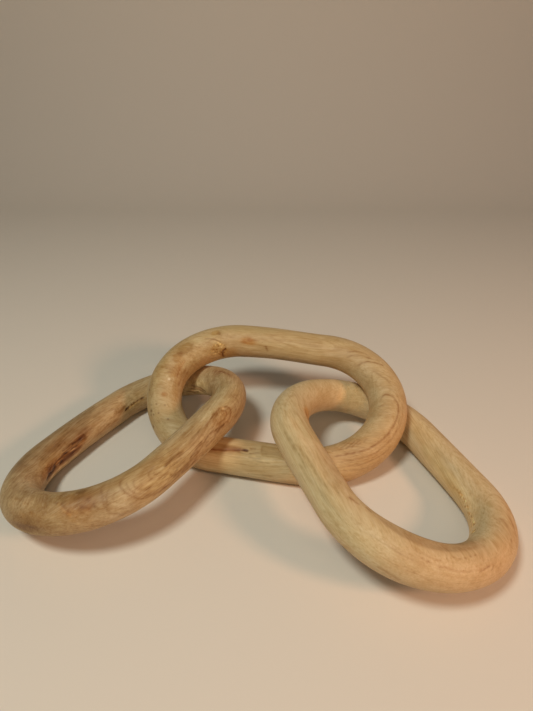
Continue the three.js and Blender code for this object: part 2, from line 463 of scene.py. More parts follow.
def wood(name, ring_strength, streak_strength, pore_strength, fibre_strength, seed):
    """Pale satin wood.  All figures run through the solid wood: grain is millimetres in the
    ring's own frame with x along the fibres, ring counts the growth rings."""
    n = Nodes(name)
    offset = n.new("ShaderNodeVectorMath", operation="ADD")
    n.link(n.attribute("grain", "Vector"), offset.inputs[0])
    offset.inputs[1].default_value = (seed * 13.7, seed * 5.1, seed * 9.3)
    grain = offset.outputs[0]
    ring = n.attribute("ring")
    boost = n.attribute("boost")
    figure = n.attribute("figure")

    # growth rings: pale early wood that darkens into a thin late-wood line
    frac = n.math("FRACT", ring)
    count = n.math("FLOOR", ring)
    white = n.new("ShaderNodeTexWhiteNoise", noise_dimensions="1D")
    n.link(count, white.inputs["W"])
    each = n.math("POWER", white.outputs["Value"], 2.5)
    each = n.math("MULTIPLY_ADD", each, 0.85, 0.06)
    each = n.math("ADD", each, boost)
    # each year's wood has a tone of its own
    second = n.new("ShaderNodeTexWhiteNoise", noise_dimensions="1D")
    n.link(n.math("ADD", count, 71.3), second.inputs["W"])
    year = n.math("POWER", second.outputs["Value"], 1.6)
    rise = n.remap(frac, 0.25, 0.93)
    rise = n.math("POWER", rise, 2.2)
    fall = n.remap(frac, 0.93, 1.0, 1.0, 0.0)
    line = n.math("MULTIPLY", rise, fall)
    patchy = n.remap(n.noise(grain, (0.028, 0.16, 0.16), 2.0), 0.32, 0.68, 0.35, 1.0)
    line = n.math("MULTIPLY", n.math("MULTIPLY", line, each), patchy)
    line = n.math("MULTIPLY", line, ring_strength, clamp=True)

    # broad streaks, fibres and pores: grain is (along the fibres, along a ring, across the rings)
    broad = n.remap(n.noise(grain, (0.008, 0.055, 0.10), 3.0, 0.55), 0.42, 0.70)
    streak_noise = n.noise(grain, (0.013, 0.17, 0.30), 4.0, 0.6, 0.25)
    streak = n.remap(streak_noise, 0.46, 0.72)
    thin_noise = n.noise(grain, (0.026, 0.46, 0.78), 3.0, 0.55, 0.2)
    thin_dark = n.remap(thin_noise, 0.50, 0.74)
    thin_light = n.remap(thin_noise, 0.50, 0.26)
    fibre = n.noise(grain, (0.05, 1.2, 1.9), 3.0, 0.6)
    fibre_dark = n.remap(fibre, 0.48, 0.78)
    pore = n.remap(n.noise(grain, (0.11, 1.9, 2.6), 2.0, 0.5), 0.64, 0.76)
    pore = n.math("MULTIPLY", pore, n.remap(frac, 0.0, 0.6, 1.0, 0.35))
    vein = n.remap(n.noise(grain, (0.020, 0.50, 0.85), 2.0, 0.5, 0.35), 0.585, 0.665)
    vein = n.math("MULTIPLY", vein, n.attribute("vein"), clamp=True)

    colour = n.attribute("tone", "Color")
    colour = n.mix("MULTIPLY", n.math("MULTIPLY", year, 0.5 * ring_strength), colour, (0.84, 0.74, 0.60))
    colour = n.mix("MULTIPLY", n.math("MULTIPLY", broad, 0.35 * streak_strength), colour, (0.84, 0.76, 0.60))
    colour = n.mix("MULTIPLY", n.math("MULTIPLY", n.math("MULTIPLY", streak, figure), 0.60 * streak_strength), colour, (0.78, 0.67, 0.49))
    colour = n.mix("MULTIPLY", line, colour, (0.60, 0.43, 0.25))
    colour = n.mix("MULTIPLY", n.math("MULTIPLY", n.math("MULTIPLY", thin_dark, figure), 0.80 * streak_strength), colour, (0.76, 0.65, 0.48))
    colour = n.mix("SCREEN", n.math("MULTIPLY", thin_light, 0.11), colour, (0.90, 0.80, 0.60))
    colour = n.mix("MULTIPLY", n.math("MULTIPLY", n.math("MULTIPLY", fibre_dark, figure), fibre_strength), colour, (0.72, 0.60, 0.44))
    colour = n.mix("MULTIPLY", n.math("MULTIPLY", pore, pore_strength), colour, (0.50, 0.37, 0.24))
    colour = n.mix("MULTIPLY", vein, colour, (0.46, 0.32, 0.19))

    # little dark flecks
    flecks = n.new("ShaderNodeTexVoronoi", feature="F1", voronoi_dimensions="3D")
    n.link(n.scaled(grain, (0.07, 0.16, 0.16)), flecks.inputs["Vector"])
    flecks.inputs["Scale"].default_value = 1.0
    fleck = n.remap(flecks.outputs["Distance"], 0.035, 0.075, 1.0, 0.0)
    colour = n.mix("MULTIPLY", n.math("MULTIPLY", fleck, 0.55), colour, (0.42, 0.29, 0.17))

    bsdf = n.new("ShaderNodeBsdfPrincipled")
    n.link(colour, bsdf.inputs["Base Color"])
    rough = n.remap(fibre, 0.3, 0.75, 0.50, 0.66, kind="LINEAR")
    rough = n.math("ADD", rough, n.attribute("rough"), clamp=True)
    n.link(rough, bsdf.inputs["Roughness"])
    bsdf.inputs["Metallic"].default_value = 0.0
    bsdf.inputs["IOR"].default_value = 1.5
    bsdf.inputs["Specular IOR Level"].default_value = 0.42

    height = n.math("MULTIPLY", fibre, 0.35)
    height = n.math("SUBTRACT", height, n.math("MULTIPLY", pore, 0.5))
    height = n.math("SUBTRACT", height, n.math("MULTIPLY", line, 0.25))
    bump = n.new("ShaderNodeBump")
    bump.inputs["Strength"].default_value = 0.35
    bump.inputs["Distance"].default_value = 0.00025
    n.link(height, bump.inputs["Height"])
    n.link(bump.outputs[0], bsdf.inputs["Normal"])
    out = n.new("ShaderNodeOutputMaterial")
    n.link(bsdf.outputs[0], out.inputs[0])
    return n.material


# ---- one ring's mesh -------------------------------------------------------------------------
def make_link(skin, F, tangent, ring, boost, base, mottle, grit, endgrain, material):
    link = skin.link
    P0 = skin.P
    # uneven tone of the bare wood: soft orange-brown clouds, and a few greyer, dirtier ones
    warm = cloud(P0, (46.0, 15.0, 15.0), link["seed"] + 90, 3)
    small = cloud(P0, (15.0, 5.0, 5.0), link["seed"] + 95, 2)
    dirty = cloud(P0, (38.0, 20.0, 20.0), link["seed"] + 99, 3)
    skin.tint(mottle * smooth(-0.05, 0.55, warm), (0.74, 0.60, 0.42))
    skin.tint(0.55 * mottle * smooth(0.0, 0.6, small), (0.78, 0.65, 0.47))
    skin.tint(0.60 * mottle * smooth(0.12, 0.6, dirty), (0.72, 0.68, 0.60))
    # fine unevenness of tone: short flecks along the fibres and open grain between them
    flecks = cloud(P0, (14.0, 2.9, 2.9), link["seed"] + 120, 2, 0.6)
    specks = noise(P0, (2.6, 1.9, 1.9), link["seed"] + 130)
    skin.tint(grit * smooth(0.05, 0.75, flecks), (0.70, 0.58, 0.42))
    skin.tint(grit * smooth(0.10, 0.80, -flecks), (1.26, 1.28, 1.26))
    skin.tint(grit * smooth(0.20, 0.90, specks), (0.74, 0.60, 0.42))
    skin.tint(grit * smooth(0.30, 0.90, -specks), (1.18, 1.22, 1.22))
    # hand-worked unevenness: long shallow facets left by the tools, and a gentle wobble
    facets = cloud(P0, (34.0, 11.0, 11.0), link["seed"] + 50, 2)
    wobble = cloud(P0, 26.0, link["seed"] + 60, 2)
    skin.depth -= 0.14 + 0.14 * facets + 0.10 * wobble
    skin.depth -= 0.035 * np.clip(cloud(P0, (7.0, 2.2, 2.2), link["seed"] + 70, 2), -1, 1) + 0.03
    depth = np.clip(skin.depth, -CRACK_GUARD, 0.0)
    r = skin.r - INSET + depth
    local = surface(link, skin.s, skin.phi, r)
    M = axes(link)
    place = np.array(link["centre"]) - np.array([0, 0, REST_FLAT])
    world = local @ M.T + place
    world[..., 2] = np.maximum(world[..., 2], 0.0)

    verts = (world.reshape(-1, 3) * MM)
    i = np.arange(ALONG)[:, None]
    j = np.arange(AROUND)[None, :]
    i1, j1 = (i + 1) % ALONG, (j + 1) % AROUND
    quads = np.stack([i * AROUND + j, i1 * AROUND + j, i1 * AROUND + j1, i * AROUND + j1], axis=-1).reshape(-1, 4)
    mesh = bpy.data.meshes.new(skin.name + "_wood")
    mesh.from_pydata(verts.tolist(), [], quads.tolist())
    mesh.polygons.foreach_set("use_smooth", np.ones(len(mesh.polygons), dtype=bool))

    def attribute(name, kind, values, field):
        a = mesh.attributes.new(name, kind, "POINT")
        a.data.foreach_set(field, np.ascontiguousarray(values, dtype=np.float32).ravel())

    wavy = np.stack([P0[..., 0], tangent + 1.6 * noise(P0, (55.0, 30.0, 30.0), link["seed"] + 80),
                     F + 0.8 * noise(P0, (55.0, 30.0, 30.0), link["seed"] + 81)], axis=-1)
    tone = np.clip(np.array(base) * skin.colour, 0.004, 0.95)
    attribute("ring", "FLOAT", ring, "value")
    attribute("boost", "FLOAT", boost, "value")
    # the fibres show less where they are cut across
    attribute("figure", "FLOAT", 1 - endgrain * (outwards(link, skin.s)[0] * np.cos(skin.phi)) ** 2, "value")
    attribute("vein", "FLOAT", np.clip(skin.vein, 0, 1), "value")
    attribute("rough", "FLOAT", np.clip(skin.rough, -0.3, 0.3), "value")
    attribute("grain", "FLOAT_VECTOR", wavy, "vector")
    attribute("tone", "FLOAT_COLOR", np.concatenate([tone, np.ones(tone.shape[:2] + (1,))], axis=-1), "color")
    mesh.materials.append(material)
    mesh.validate()
    mesh.update()
    obj = bpy.data.objects.new(skin.name + "_wood", mesh)
    bpy.context.scene.collection.objects.link(obj)
    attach(obj, "root")
    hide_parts(skin.name)
    return obj


def count_rings(F, lines, spacing):
    """Turns the ring field (mm) into ring numbers, so that the named values fall on lines."""
    lines = sorted(lines)
    number = [0.0]
    for a, b in zip(lines[:-1], lines[1:]):
        number.append(number[-1] + max(1, round((b - a) / spacing)))
    out = np.interp(F, lines, number)
    out = np.where(F < lines[0], (F - lines[0]) / spacing, out)
    out = np.where(F > lines[-1], number[-1] + (F - lines[-1]) / spacing, out)
    return out + 200.0


# =============================================================================================
# Left ring: warm tan, with the dark cracked stain on its far bar
# =============================================================================================
left = Skin("link_left")
STAIN = [(0.637, 198), (0.607, 194), (0.573, 180), (0.5505, 172), (0.5215, 163)]
CHECK = [(0.4380, 182), (0.4305, 180), (0.4155, 178), (0.4015, 177), (0.3865, 172)]
left.lay_grid(
    dense_s=[(0.58, 0.06, 0.35), (0.41, 0.035, 0.5)],
    dense_phi=[(STAIN, 26, 3.2), (CHECK, 12, 3.0), ([(0.20, 180), (0.28, 180)], 30, 1.0)],
    anchor=20)
P = left.P
F = rings_left(P) + 0.9 * cloud(P, (110.0, 24.0, 24.0), 111, 2, 0.35) + 0.10 * noise(P, (40.0, 7.0, 7.0), 112)
# the swirl on the inner end, the closed ovals on the near bar and the knot by the bend
swirl = left.spot(0.069, 42, 13, 9)
F = F + 7.0 * swirl
ring = count_rings(F, [66.9, 71.1, 72.9, 74.6, 76.0, 77.1, 80.0], 2.9)
near_bar = smooth(-150, -95, P[..., 0]) * smooth(-40, -75, P[..., 1])
boost = 0.05 * near_bar
ring_left, boost_left, F_left = ring, boost, F
turned = np.arctan2(P[..., 2] + 20, np.abs(P[..., 1] + 40) + 1e-3)
tangent_left = np.hypot(P[..., 1] + 40, P[..., 2] + 20) * turned

# --- broad soft patches of lighter and darker tone on the left ring; a few of them are partly painted light and shade
left.blot(0.560, 112, 62, 17, 0.95, (0.66, 0.62, 0.58), 501, ragged=0.5)
left.blot(0.648, 110, 26, 22, 0.60, (0.78, 0.74, 0.70), 502)
left.blot(0.650, 104, 10, 9, 0.50, (0.74, 0.68, 0.62), 503)
left.blot(0.575, 134, 16, 6, 0.65, (0.84, 0.68, 0.50), 504)
left.blot(0.720, 135, 26, 20, 0.65, (0.98, 0.98, 1.04), 505)
left.blot(0.757, 18, 17, 12, 0.40, (0.76, 0.66, 0.50), 506)
left.blot(0.792, 17, 4, 3, 0.60, (0.78, 0.70, 0.56), 507)
left.blot(0.811, 86, 20, 9, 0.70, (0.76, 0.72, 0.60), 508)
left.blot(0.828, 92, 5, 4, 0.75, (0.66, 0.58, 0.44), 509)
left.blot(0.826, 52, 15, 12, 0.80, (0.90, 0.74, 0.55), 510)
left.blot(0.868, 10, 26, 15, 0.55, (1.12, 1.16, 1.22), 511)
left.blot(0.905, 74, 44, 11, 0.70, (0.88, 0.88, 0.76), 512)
left.blot(0.975, -22, 40, 6, 0.35, (0.86, 0.76, 0.58), 513)
left.blot(0.812, 46, 44, 19, 0.85, (0.80, 0.73, 0.62), 514)
left.blot(0.842, 44, 15, 15, 0.70, (0.78, 0.70, 0.58), 515)
left.blot(0.745, 62, 34, 30, 0.65, (0.86, 0.79, 0.70), 517)
left.blot(0.618, 160, 15, 7, 0.60, (0.86, 0.80, 0.66), 518)
left.blot(0.935, 4, 30, 13, 0.45, (1.12, 1.20, 1.22), 519)
for k, (s, f, lo, wi, amount, colour) in enumerate([
        (0.900, 0, 40, 12, 0.60, (1.16, 1.26, 1.32)), (0.010, 62, 40, 9, 0.65, (1.06, 1.18, 1.26)), (0.060, 62, 24, 9, 0.45, (1.06, 1.16, 1.18)), (0.936, 22, 34, 11, 0.65, (1.14, 1.25, 1.32)),
        (0.862, 16, 24, 14, 0.80, (1.02, 1.10, 1.28)), (0.848, 79, 24, 8, 0.70, (0.80, 0.73, 0.62)),
        (0.892, 87, 22, 8, 0.55, (0.90, 0.80, 0.70)), (0.803, 46, 12, 8, 0.50, (0.88, 0.80, 0.70)),
        (0.750, 58, 16, 10, 0.60, (1.12, 1.12, 1.18)), (0.700, 82, 16, 8, 0.50, (0.86, 0.80, 0.76)),
        (0.500, 100, 20, 9, 0.50, (0.88, 0.86, 0.82)), (0.105, 60, 26, 12, 0.45, (1.06, 1.16, 1.16)),
        (0.899, 6, 16, 9, 0.55, (1.12, 1.17, 1.18)), (0.8555, 9, 18, 10, 0.50, (1.08, 1.13, 1.16))]):
    left.blot(s, f, lo, wi, amount, colour, 451 + 3 * k)
# light and dark places round the bend, as they show: partly the wood's own tone, partly painted light and shade
for k, (s, f, lo, wi, amount, colour) in enumerate([
        (0.683, 119, 11, 10, 0.75, (1.12, 1.12, 1.18)), (0.719, 127, 5, 4, 0.70, (1.20, 1.16, 1.14)),
        (0.732, 55, 8, 6, 0.60, (1.12, 1.12, 1.14)), (0.755, 65, 12, 5, 0.60, (1.12, 1.14, 1.18)),
        (0.780, 78, 8, 4, 0.55, (0.88, 0.82, 0.84)), (0.756, 9, 18, 10, 0.60, (0.74, 0.62, 0.46)),
        (0.767, 18, 11, 6, 0.45, (0.78, 0.66, 0.50)), (0.756, -5, 24, 6, 0.55, (0.70, 0.58, 0.42)),
        (0.720, 105, 20, 14, 0.40, (1.08, 1.12, 1.20)), (0.785, 10, 26, 10, 0.45, (1.04, 1.12, 1.22)),
        (0.790, 55, 20, 12, 0.40, (1.06, 1.10, 1.14)), (0.650, 90, 12, 8, 0.60, (0.84, 0.74, 0.66))]):
    left.blot(s, f, lo, wi, amount, colour, 401 + 3 * k, ragged=0.55)
for k, (pts, half, amount, colour) in enumerate([
        ([(0.6720, 76), (0.6860, 93), (0.6750, 108), (0.6610, 121), (0.6500, 128)], 3.0, 0.55, (0.82, 0.76, 0.64)),
        ([(0.7000, 84), (0.7280, 88), (0.7500, 92), (0.7675, 94), (0.7850, 86), (0.7960, 83), (0.8060, 80)], 3.8, 0.60, (0.84, 0.80, 0.72)),
        ([(0.7960, 88), (0.8060, 84), (0.8180, 82)], 2.4, 0.55, (0.80, 0.68, 0.50)),
        ([(0.7635, 42), (0.7730, 41), (0.7790, 31), (0.7840, 22)], 2.4, 0.60, (0.84, 0.70, 0.50)),
        ([(0.7480, 40), (0.7535, 37), (0.7600, 35), (0.7680, 33)], 1.6, 0.60, (1.14, 1.12, 1.06)),
        ([(0.7400, 30), (0.7500, 28), (0.7600, 25)], 1.2, 0.45, (0.78, 0.66, 0.48))]):
    left.stroke(pts, half, amount, colour, 441 + 2 * k, 1.2, 0.2, 0.35)
# fine lines that follow the bend
rng = np.random.default_rng(9)
for k in range(26):
    s, f = 0.640 + 0.13 * rng.random(), -10 + 150 * rng.random()
    long, drift = 0.030 + 0.045 * rng.random(), 10 * (rng.random() - 0.5)
    pts = [(s + long * u, f + drift * u + 3 * math.sin(7 * u + k)) for u in (0.0, 0.25, 0.5, 0.75, 1.0)]
    half, amount = 0.7 + 1.2 * rng.random(), 0.25 + 0.35 * rng.random()
    left.stroke(pts, half, amount, (0.76, 0.64, 0.48) if rng.random() < 0.65 else (1.12, 1.12, 1.10), 461 + 2 * k, 1.4, 0.25, 0.4)

# stain on the inner side of the far bar: dark red-brown, with lighter lines and cracks along it
d, t = left.to_line([(0.637, 198), (0.607, 193), (0.573, 185), (0.5505, 181), (0.5215, 167)], 34.0, 1.2, 31)
ends = smooth(0, 0.14, t) * (1 - smooth(0.94, 1.0, t))
wide = np.interp(t, [0, 0.2, 0.45, 0.7, 0.9, 1.0], [0.25, 0.50, 0.90, 0.90, 0.70, 0.5])
body = cloud(P, (14.0, 1.6, 1.6), 33, 3, 0.6)
left.tint(0.60 * np.exp(-(d / (13 * wide + 3)) ** 2) * ends, (0.80, 0.67, 0.50))
left.tint(0.95 * smooth(0.10, 0.75, np.exp(-(d / (9.0 * wide)) ** 2) * (1 + 1.2 * body)) * ends, (0.70, 0.55, 0.38))
left.tint(0.65 * smooth(0.30, 0.85, np.exp(-(d / (7.0 * wide)) ** 2) * (1 + 1.6 * body)) * ends, (0.68, 0.52, 0.36))
for k, (s, f, lo, wi, amount, colour) in enumerate([
        (0.529, 161, 12, 6, 0.75, (0.68, 0.50, 0.38)), (0.551, 163, 14, 4, 0.55, (0.74, 0.58, 0.42)),
        (0.571, 191, 11, 5, 0.90, (0.56, 0.42, 0.31)), (0.552, 193, 11, 4, 0.60, (0.70, 0.52, 0.38)),
        (0.632, 175, 13, 6, 0.80, (0.80, 0.60, 0.38)), (0.612, 174, 12, 5, 0.60, (0.80, 0.62, 0.42)),
        (0.618, 186, 10, 4, 0.70, (0.62, 0.46, 0.30)), (0.590, 164, 12, 5, 0.50, (0.84, 0.72, 0.54))]):
    left.blot(s, f, lo, wi, amount, colour, 601 + 3 * k, ragged=0.6)
for k, (pts, half, deep, colour, dark) in enumerate([
        ([(0.5975, 188), (0.6065, 192), (0.6125, 195), (0.6220, 193), (0.6335, 195), (0.6420, 201)], 2.0, 1.3, (0.17, 0.105, 0.06), 1.0),
        ([(0.5805, 190), (0.5860, 193), (0.5915, 193)], 1.3, 1.0, (0.28, 0.18, 0.11), 1.0),
        ([(0.5640, 176), (0.5700, 175), (0.5780, 177), (0.5870, 178), (0.5960, 179), (0.6035, 181), (0.6135, 182)], 1.1, 0.9, (0.34, 0.22, 0.14), 0.95),
        ([(0.5355, 166), (0.5425, 168), (0.5490, 167), (0.5550, 166)], 1.0, 0.5, (0.40, 0.26, 0.18), 0.90),
        ([(0.5570, 165), (0.5630, 166), (0.5690, 164), (0.5760, 164)], 0.9, 0.4, (0.46, 0.31, 0.20), 0.85),
        ([(0.5460, 179), (0.5545, 179), (0.5610, 180)], 0.8, 0.6, (0.36, 0.24, 0.15), 0.95),
        ([(0.5400, 194), (0.5480, 191), (0.5560, 192), (0.5660, 194)], 0.9, 0.4, (0.52, 0.37, 0.25), 0.80),
        ([(0.5300, 168), (0.5380, 172), (0.5450, 173)], 0.8, 0.3, (0.56, 0.40, 0.28), 0.70),
        ([(0.5600, 171), (0.5680, 170), (0.5760, 171)], 0.7, 0.3, (0.52, 0.36, 0.24), 0.70),
        ([(0.6100, 176), (0.6200, 179), (0.6320, 184)], 0.9, 0.4, (0.48, 0.32, 0.20), 0.75)]):
    left.groove(pts, half, deep, colour, dark, 0.9, 41 + 3 * k)
for s, f, lo, wi in [(0.6125, 195, 3.2, 2.4), (0.6270, 195, 4.6, 2.6), (0.5860, 192.5, 2.4, 1.7), (0.5700, 176, 2.4, 1.2), (0.5370, 167, 2.2, 1.2), (0.5530, 166, 1.8, 1.0)]:
    left.tint(0.80 * left.spot(s, f, lo, wi), (0.34, 0.22, 0.14))
for k, (pts, half, gain) in enumerate([
        ([(0.5340, 183), (0.5490, 183.5), (0.5610, 182.5), (0.5730, 181), (0.5800, 180.5)], 0.85, 1.34),
        ([(0.5400, 188), (0.5540, 187.5), (0.5620, 186)], 0.60, 1.22),
        ([(0.5750, 171), (0.5860, 173), (0.5950, 173)], 0.60, 1.20),
        ([(0.5880, 182), (0.5940, 182), (0.6030, 185.5)], 0.80, 1.44),
        ([(0.5480, 173), (0.5560, 172)], 0.50, 1.20),
        ([(0.6030, 187), (0.6100, 188)], 0.50, 1.30),
        ([(0.6300, 211), (0.6180, 212), (0.6050, 208), (0.5920, 208), (0.5665, 214)], 1.7, 1.28)]):
    left.stroke(pts, half, 1.0, (gain, gain * 1.04, gain * 1.10), 61 + 2 * k, 0.3, 0.2, 0.1)
# painted highlight: a small bluish-white glint on the stain
left.tint(0.9 * left.spot(0.5815, 184.5, 1.5, 1.1), (1.8, 1.9, 2.0))
left.tint(0.9 * left.spot(0.5335, 181, 1.8, 1.2), (1.4, 1.4, 1.3))
left.blot(0.575, 209, 40, 4, 0.7, (1.12, 1.08, 1.08), 516)

# the check with small holes and light crumbs near the far end, in a browner band
left.blot(0.4300, 190, 22, 4, 0.60, (0.78, 0.70, 0.56), 521)
left.blot(0.3950, 176, 26, 12, 0.60, (1.18, 1.22, 1.20), 520)
left.blot(0.4440, 168, 9, 4, 0.80, (0.62, 0.52, 0.38), 522)
left.stroke([(0.4535, 170), (0.4400, 166), (0.4230, 160), (0.4050, 158)], 1.1, 0.6, (0.70, 0.58, 0.42), 523)
left.groove(CHECK, 0.8, 0.6, (0.50, 0.39, 0.26), 0.85, 0.8, 71, halo=(3.0, (0.80, 0.71, 0.56)))
left.groove([(0.4375, 182), (0.4320, 180), (0.4260, 178)], 1.3, 0.8, (0.40, 0.28, 0.18), 0.95, 0.4, 73)
left.groove([(0.3930, 175), (0.3880, 173), (0.3830, 170)], 1.1, 0.6, (0.44, 0.32, 0.21), 0.90, 0.3, 75)
for s, f, w, h in [(0.4320, 178, 1.9, 1.1), (0.4270, 176, 1.5, 0.9), (0.4180, 174, 1.2, 0.7), (0.4110, 172, 1.4, 0.8), (0.4005, 174, 1.2, 0.7), (0.3875, 175, 2.1, 1.0)]:
    left.pit(s, f, w, h, (0.46, 0.35, 0.23))
for s, f in [(0.4255, 182), (0.4215, 179), (0.4150, 180), (0.4080, 177), (0.3990, 179)]:
    left.tint(left.spot(s, f, 1.6, 1.2), (1.55, 1.56, 1.48))

# folds on the inner face of the inner end, their furrows darkened with painted shade, and the pinkish dark marks behind
# them
for k, (pts, half) in enumerate([
        ([(0.268, 172), (0.2560, 176), (0.2420, 180), (0.2295, 186), (0.2155, 199)], 1.1),
        ([(0.275, 188), (0.2600, 190), (0.2450, 190), (0.2330, 198), (0.2200, 212)], 1.0),
        ([(0.262, 182), (0.2500, 184), (0.2370, 188), (0.2260, 200)], 0.7),
        ([(0.285, 202), (0.2650, 206), (0.2450, 206)], 1.0)]):
    left.stroke(pts, 1.2 * half, 0.80, (0.52, 0.38, 0.27), 81 + 3 * k, 0.4, 0.15, 0.2, 0.8)
left.blot(0.2660, 160, 10, 9, 0.65, (0.72, 0.60, 0.46), 531)
# painted light: lightens the lower inner face of the folds, which lies in shade
left.blot(0.236, 182, 26, 12, 0.90, (1.46, 1.54, 1.50), 537)
# light bands between the folds: painted light
for k, pts in enumerate([[(0.2650, 180), (0.2520, 183), (0.2400, 186), (0.2290, 194)], [(0.2700, 196), (0.2550, 198), (0.2400, 199)]]):
    left.stroke(pts, 1.9, 0.9, (1.34, 1.30, 1.28), 535 + 2 * k, 0.4, 0.2, 0.2)
left.blot(0.1930, 96, 12, 7, 0.80, (0.80, 0.66, 0.58), 532)
left.stroke([(0.2035, 108), (0.1960, 96), (0.1850, 86), (0.1720, 76), (0.1600, 66)], 1.7, 0.85, (0.70, 0.54, 0.44), 533)
left.blot(0.1660, 68, 12, 6, 0.65, (0.80, 0.66, 0.56), 539)
left.blot(0.1060, 92, 30, 8, 0.60, (1.00, 1.08, 1.12), 534)

# smudges and lines in the browner place by the bend
left.stroke([(0.8360, 66), (0.8385, 51), (0.8410, 36), (0.8440, 26)], 2.2, 0.75, (0.66, 0.52, 0.36), 541)
left.stroke([(0.8270, 40), (0.8340, 38), (0.8390, 27)], 1.8, 0.65, (0.72, 0.56, 0.40), 543)
left.stroke([(0.8440, 34), (0.8455, 18)], 1.6, 0.5, (0.76, 0.62, 0.46), 545)
left.stroke([(0.8050, 68), (0.8120, 50), (0.8175, 35), (0.8220, 22)], 1.0, 0.40, (0.72, 0.55, 0.38), 547, deep=0.12)
left.stroke([(0.8010, 70), (0.8080, 52), (0.8140, 36), (0.8190, 22)], 1.0, 0.9, (1.20, 1.17, 1.12), 549)

# ring figure of the near bar: nested ovals and U-shaped lines where the cut grazes the rings
OVALS = [
    ([(0.8700, 82), (0.8590, 86), (0.8525, 72), (0.8530, 54), (0.8515, 33), (0.8530, 13), (0.8565, -5), (0.8640, -22), (0.8745, -27), (0.8860, -24)], 1.2, 0.55),
    ([(0.8660, 66), (0.8590, 56), (0.8550, 40), (0.8550, 22), (0.8590, 8), (0.8660, -2), (0.8755, -5), (0.8860, -3), (0.8960, -9)], 0.9, 0.45),
    ([(0.8680, 50), (0.8625, 42), (0.8610, 30), (0.8640, 19), (0.8710, 12), (0.8800, 11)], 0.8, 0.30),
    ([(0.8860, 84), (0.8775, 74), (0.8735, 60), (0.8735, 44), (0.8770, 26), (0.8830, 10), (0.8900, -3), (0.9000, -12), (0.9130, -20), (0.9300, -26)], 1.0, 0.70),
    ([(0.8840, 64), (0.8795, 54), (0.8795, 40), (0.8820, 25), (0.8880, 10), (0.8960, -2), (0.9080, -11), (0.9200, -15)], 0.8, 0.60),
    ([(0.8930, 58), (0.8870, 50), (0.8860, 38), (0.8890, 24), (0.8950, 14), (0.9040, 8), (0.9160, 2)], 0.9, 0.50),
    ([(0.8960, 46), (0.8925, 37), (0.8950, 28), (0.9010, 24)], 0.7, 0.30),
    ([(0.9190, 54), (0.9110, 53), (0.9060, 46), (0.9050, 36), (0.9080, 24), (0.9140, 16), (0.9230, 16), (0.9310, 21)], 0.9, 0.65),
    ([(0.9180, 44), (0.9120, 41), (0.9110, 34), (0.9150, 27), (0.9220, 27)], 0.7, 0.35),
]
for k, (pts, half, amount) in enumerate(OVALS):
    left.stroke(pts, 1.9 * half, 0.45 * amount, (0.72, 0.58, 0.40), 551 + 3 * k, 0.9, 0.12, 0.35)
    left.stroke(pts, 0.9 * half, 0.85 * amount, (0.66, 0.50, 0.33), 552 + 3 * k, 0.9, 0.12, 0.35)
left.stroke([(0.8880, 28), (0.8950, 16), (0.9030, 11), (0.9120, 9)], 2.2, 0.55, (0.76, 0.66, 0.48), 581)

# dark streaks along the near bar
for k, (pts, half, amount) in enumerate([
        ([(0.9240, 31), (0.9345, 36), (0.9465, 35), (0.9555, 32), (0.9660, 29)], 1.7, 0.75),
        ([(0.9400, 36), (0.9500, 37), (0.9600, 33), (0.9660, 30)], 1.1, 0.65),
        ([(0.9395, 4), (0.9500, 6), (0.9620, 5)], 1.1, 0.60),
        ([(0.9640, -3), (0.9750, 4), (0.9850, 9), (0.9925, 13), (1.0010, 15)], 1.2, 0.80),
        ([(0.9720, -8), (0.9850, -1), (0.9980, 4), (1.0100, 6)], 0.9, 0.60),
        ([(0.0030, 12), (0.0090, 14), (0.0150, 15)], 1.3, 0.80),
        ([(0.9280, -14), (0.9385, -9), (0.9515, -7), (0.9660, -8), (0.9800, -7)], 1.2, 0.70),
        ([(0.9070, -16), (0.9195, -24), (0.9360, -23), (0.9530, -17), (0.9700, -17)], 1.1, 0.70),
        ([(0.8960, -17), (0.9090, -25), (0.9245, -31), (0.9400, -32)], 1.1, 0.60),
        ([(0.9200, -6), (0.9330, -2), (0.9450, 0)], 0.9, 0.45),
        ([(0.9320, -26), (0.9500, -25), (0.9680, -24), (0.9850, -20)], 1.2, 0.60),
        ([(0.0230, 1), (0.0300, 3), (0.0385, 5), (0.0460, 5), (0.0540, 4)], 1.5, 0.85),
        ([(0.9380, 47), (0.9475, 46), (0.9610, 48), (0.9730, 47)], 0.8, 0.45),
        ([(0.9700, 21), (0.9850, 27), (1.0000, 31), (1.0120, 32)], 1.0, 0.55),
        ([(0.9780, 40), (0.9930, 42), (1.0080, 44), (1.0200, 45)], 1.0, 0.50),
        ([(1.0000, -10), (1.0150, -6), (1.0300, -4)], 1.0, 0.50)]):
    left.stroke(pts, 0.95 * half, 0.95 * amount, (0.57, 0.41, 0.25), 601 + 3 * k, 0.6, 0.18, 0.45, 0.10)
    left.stroke(pts, 2.4 * half, 0.30 * amount, (0.74, 0.60, 0.42), 602 + 3 * k, 0.7, 0.18, 0.45)

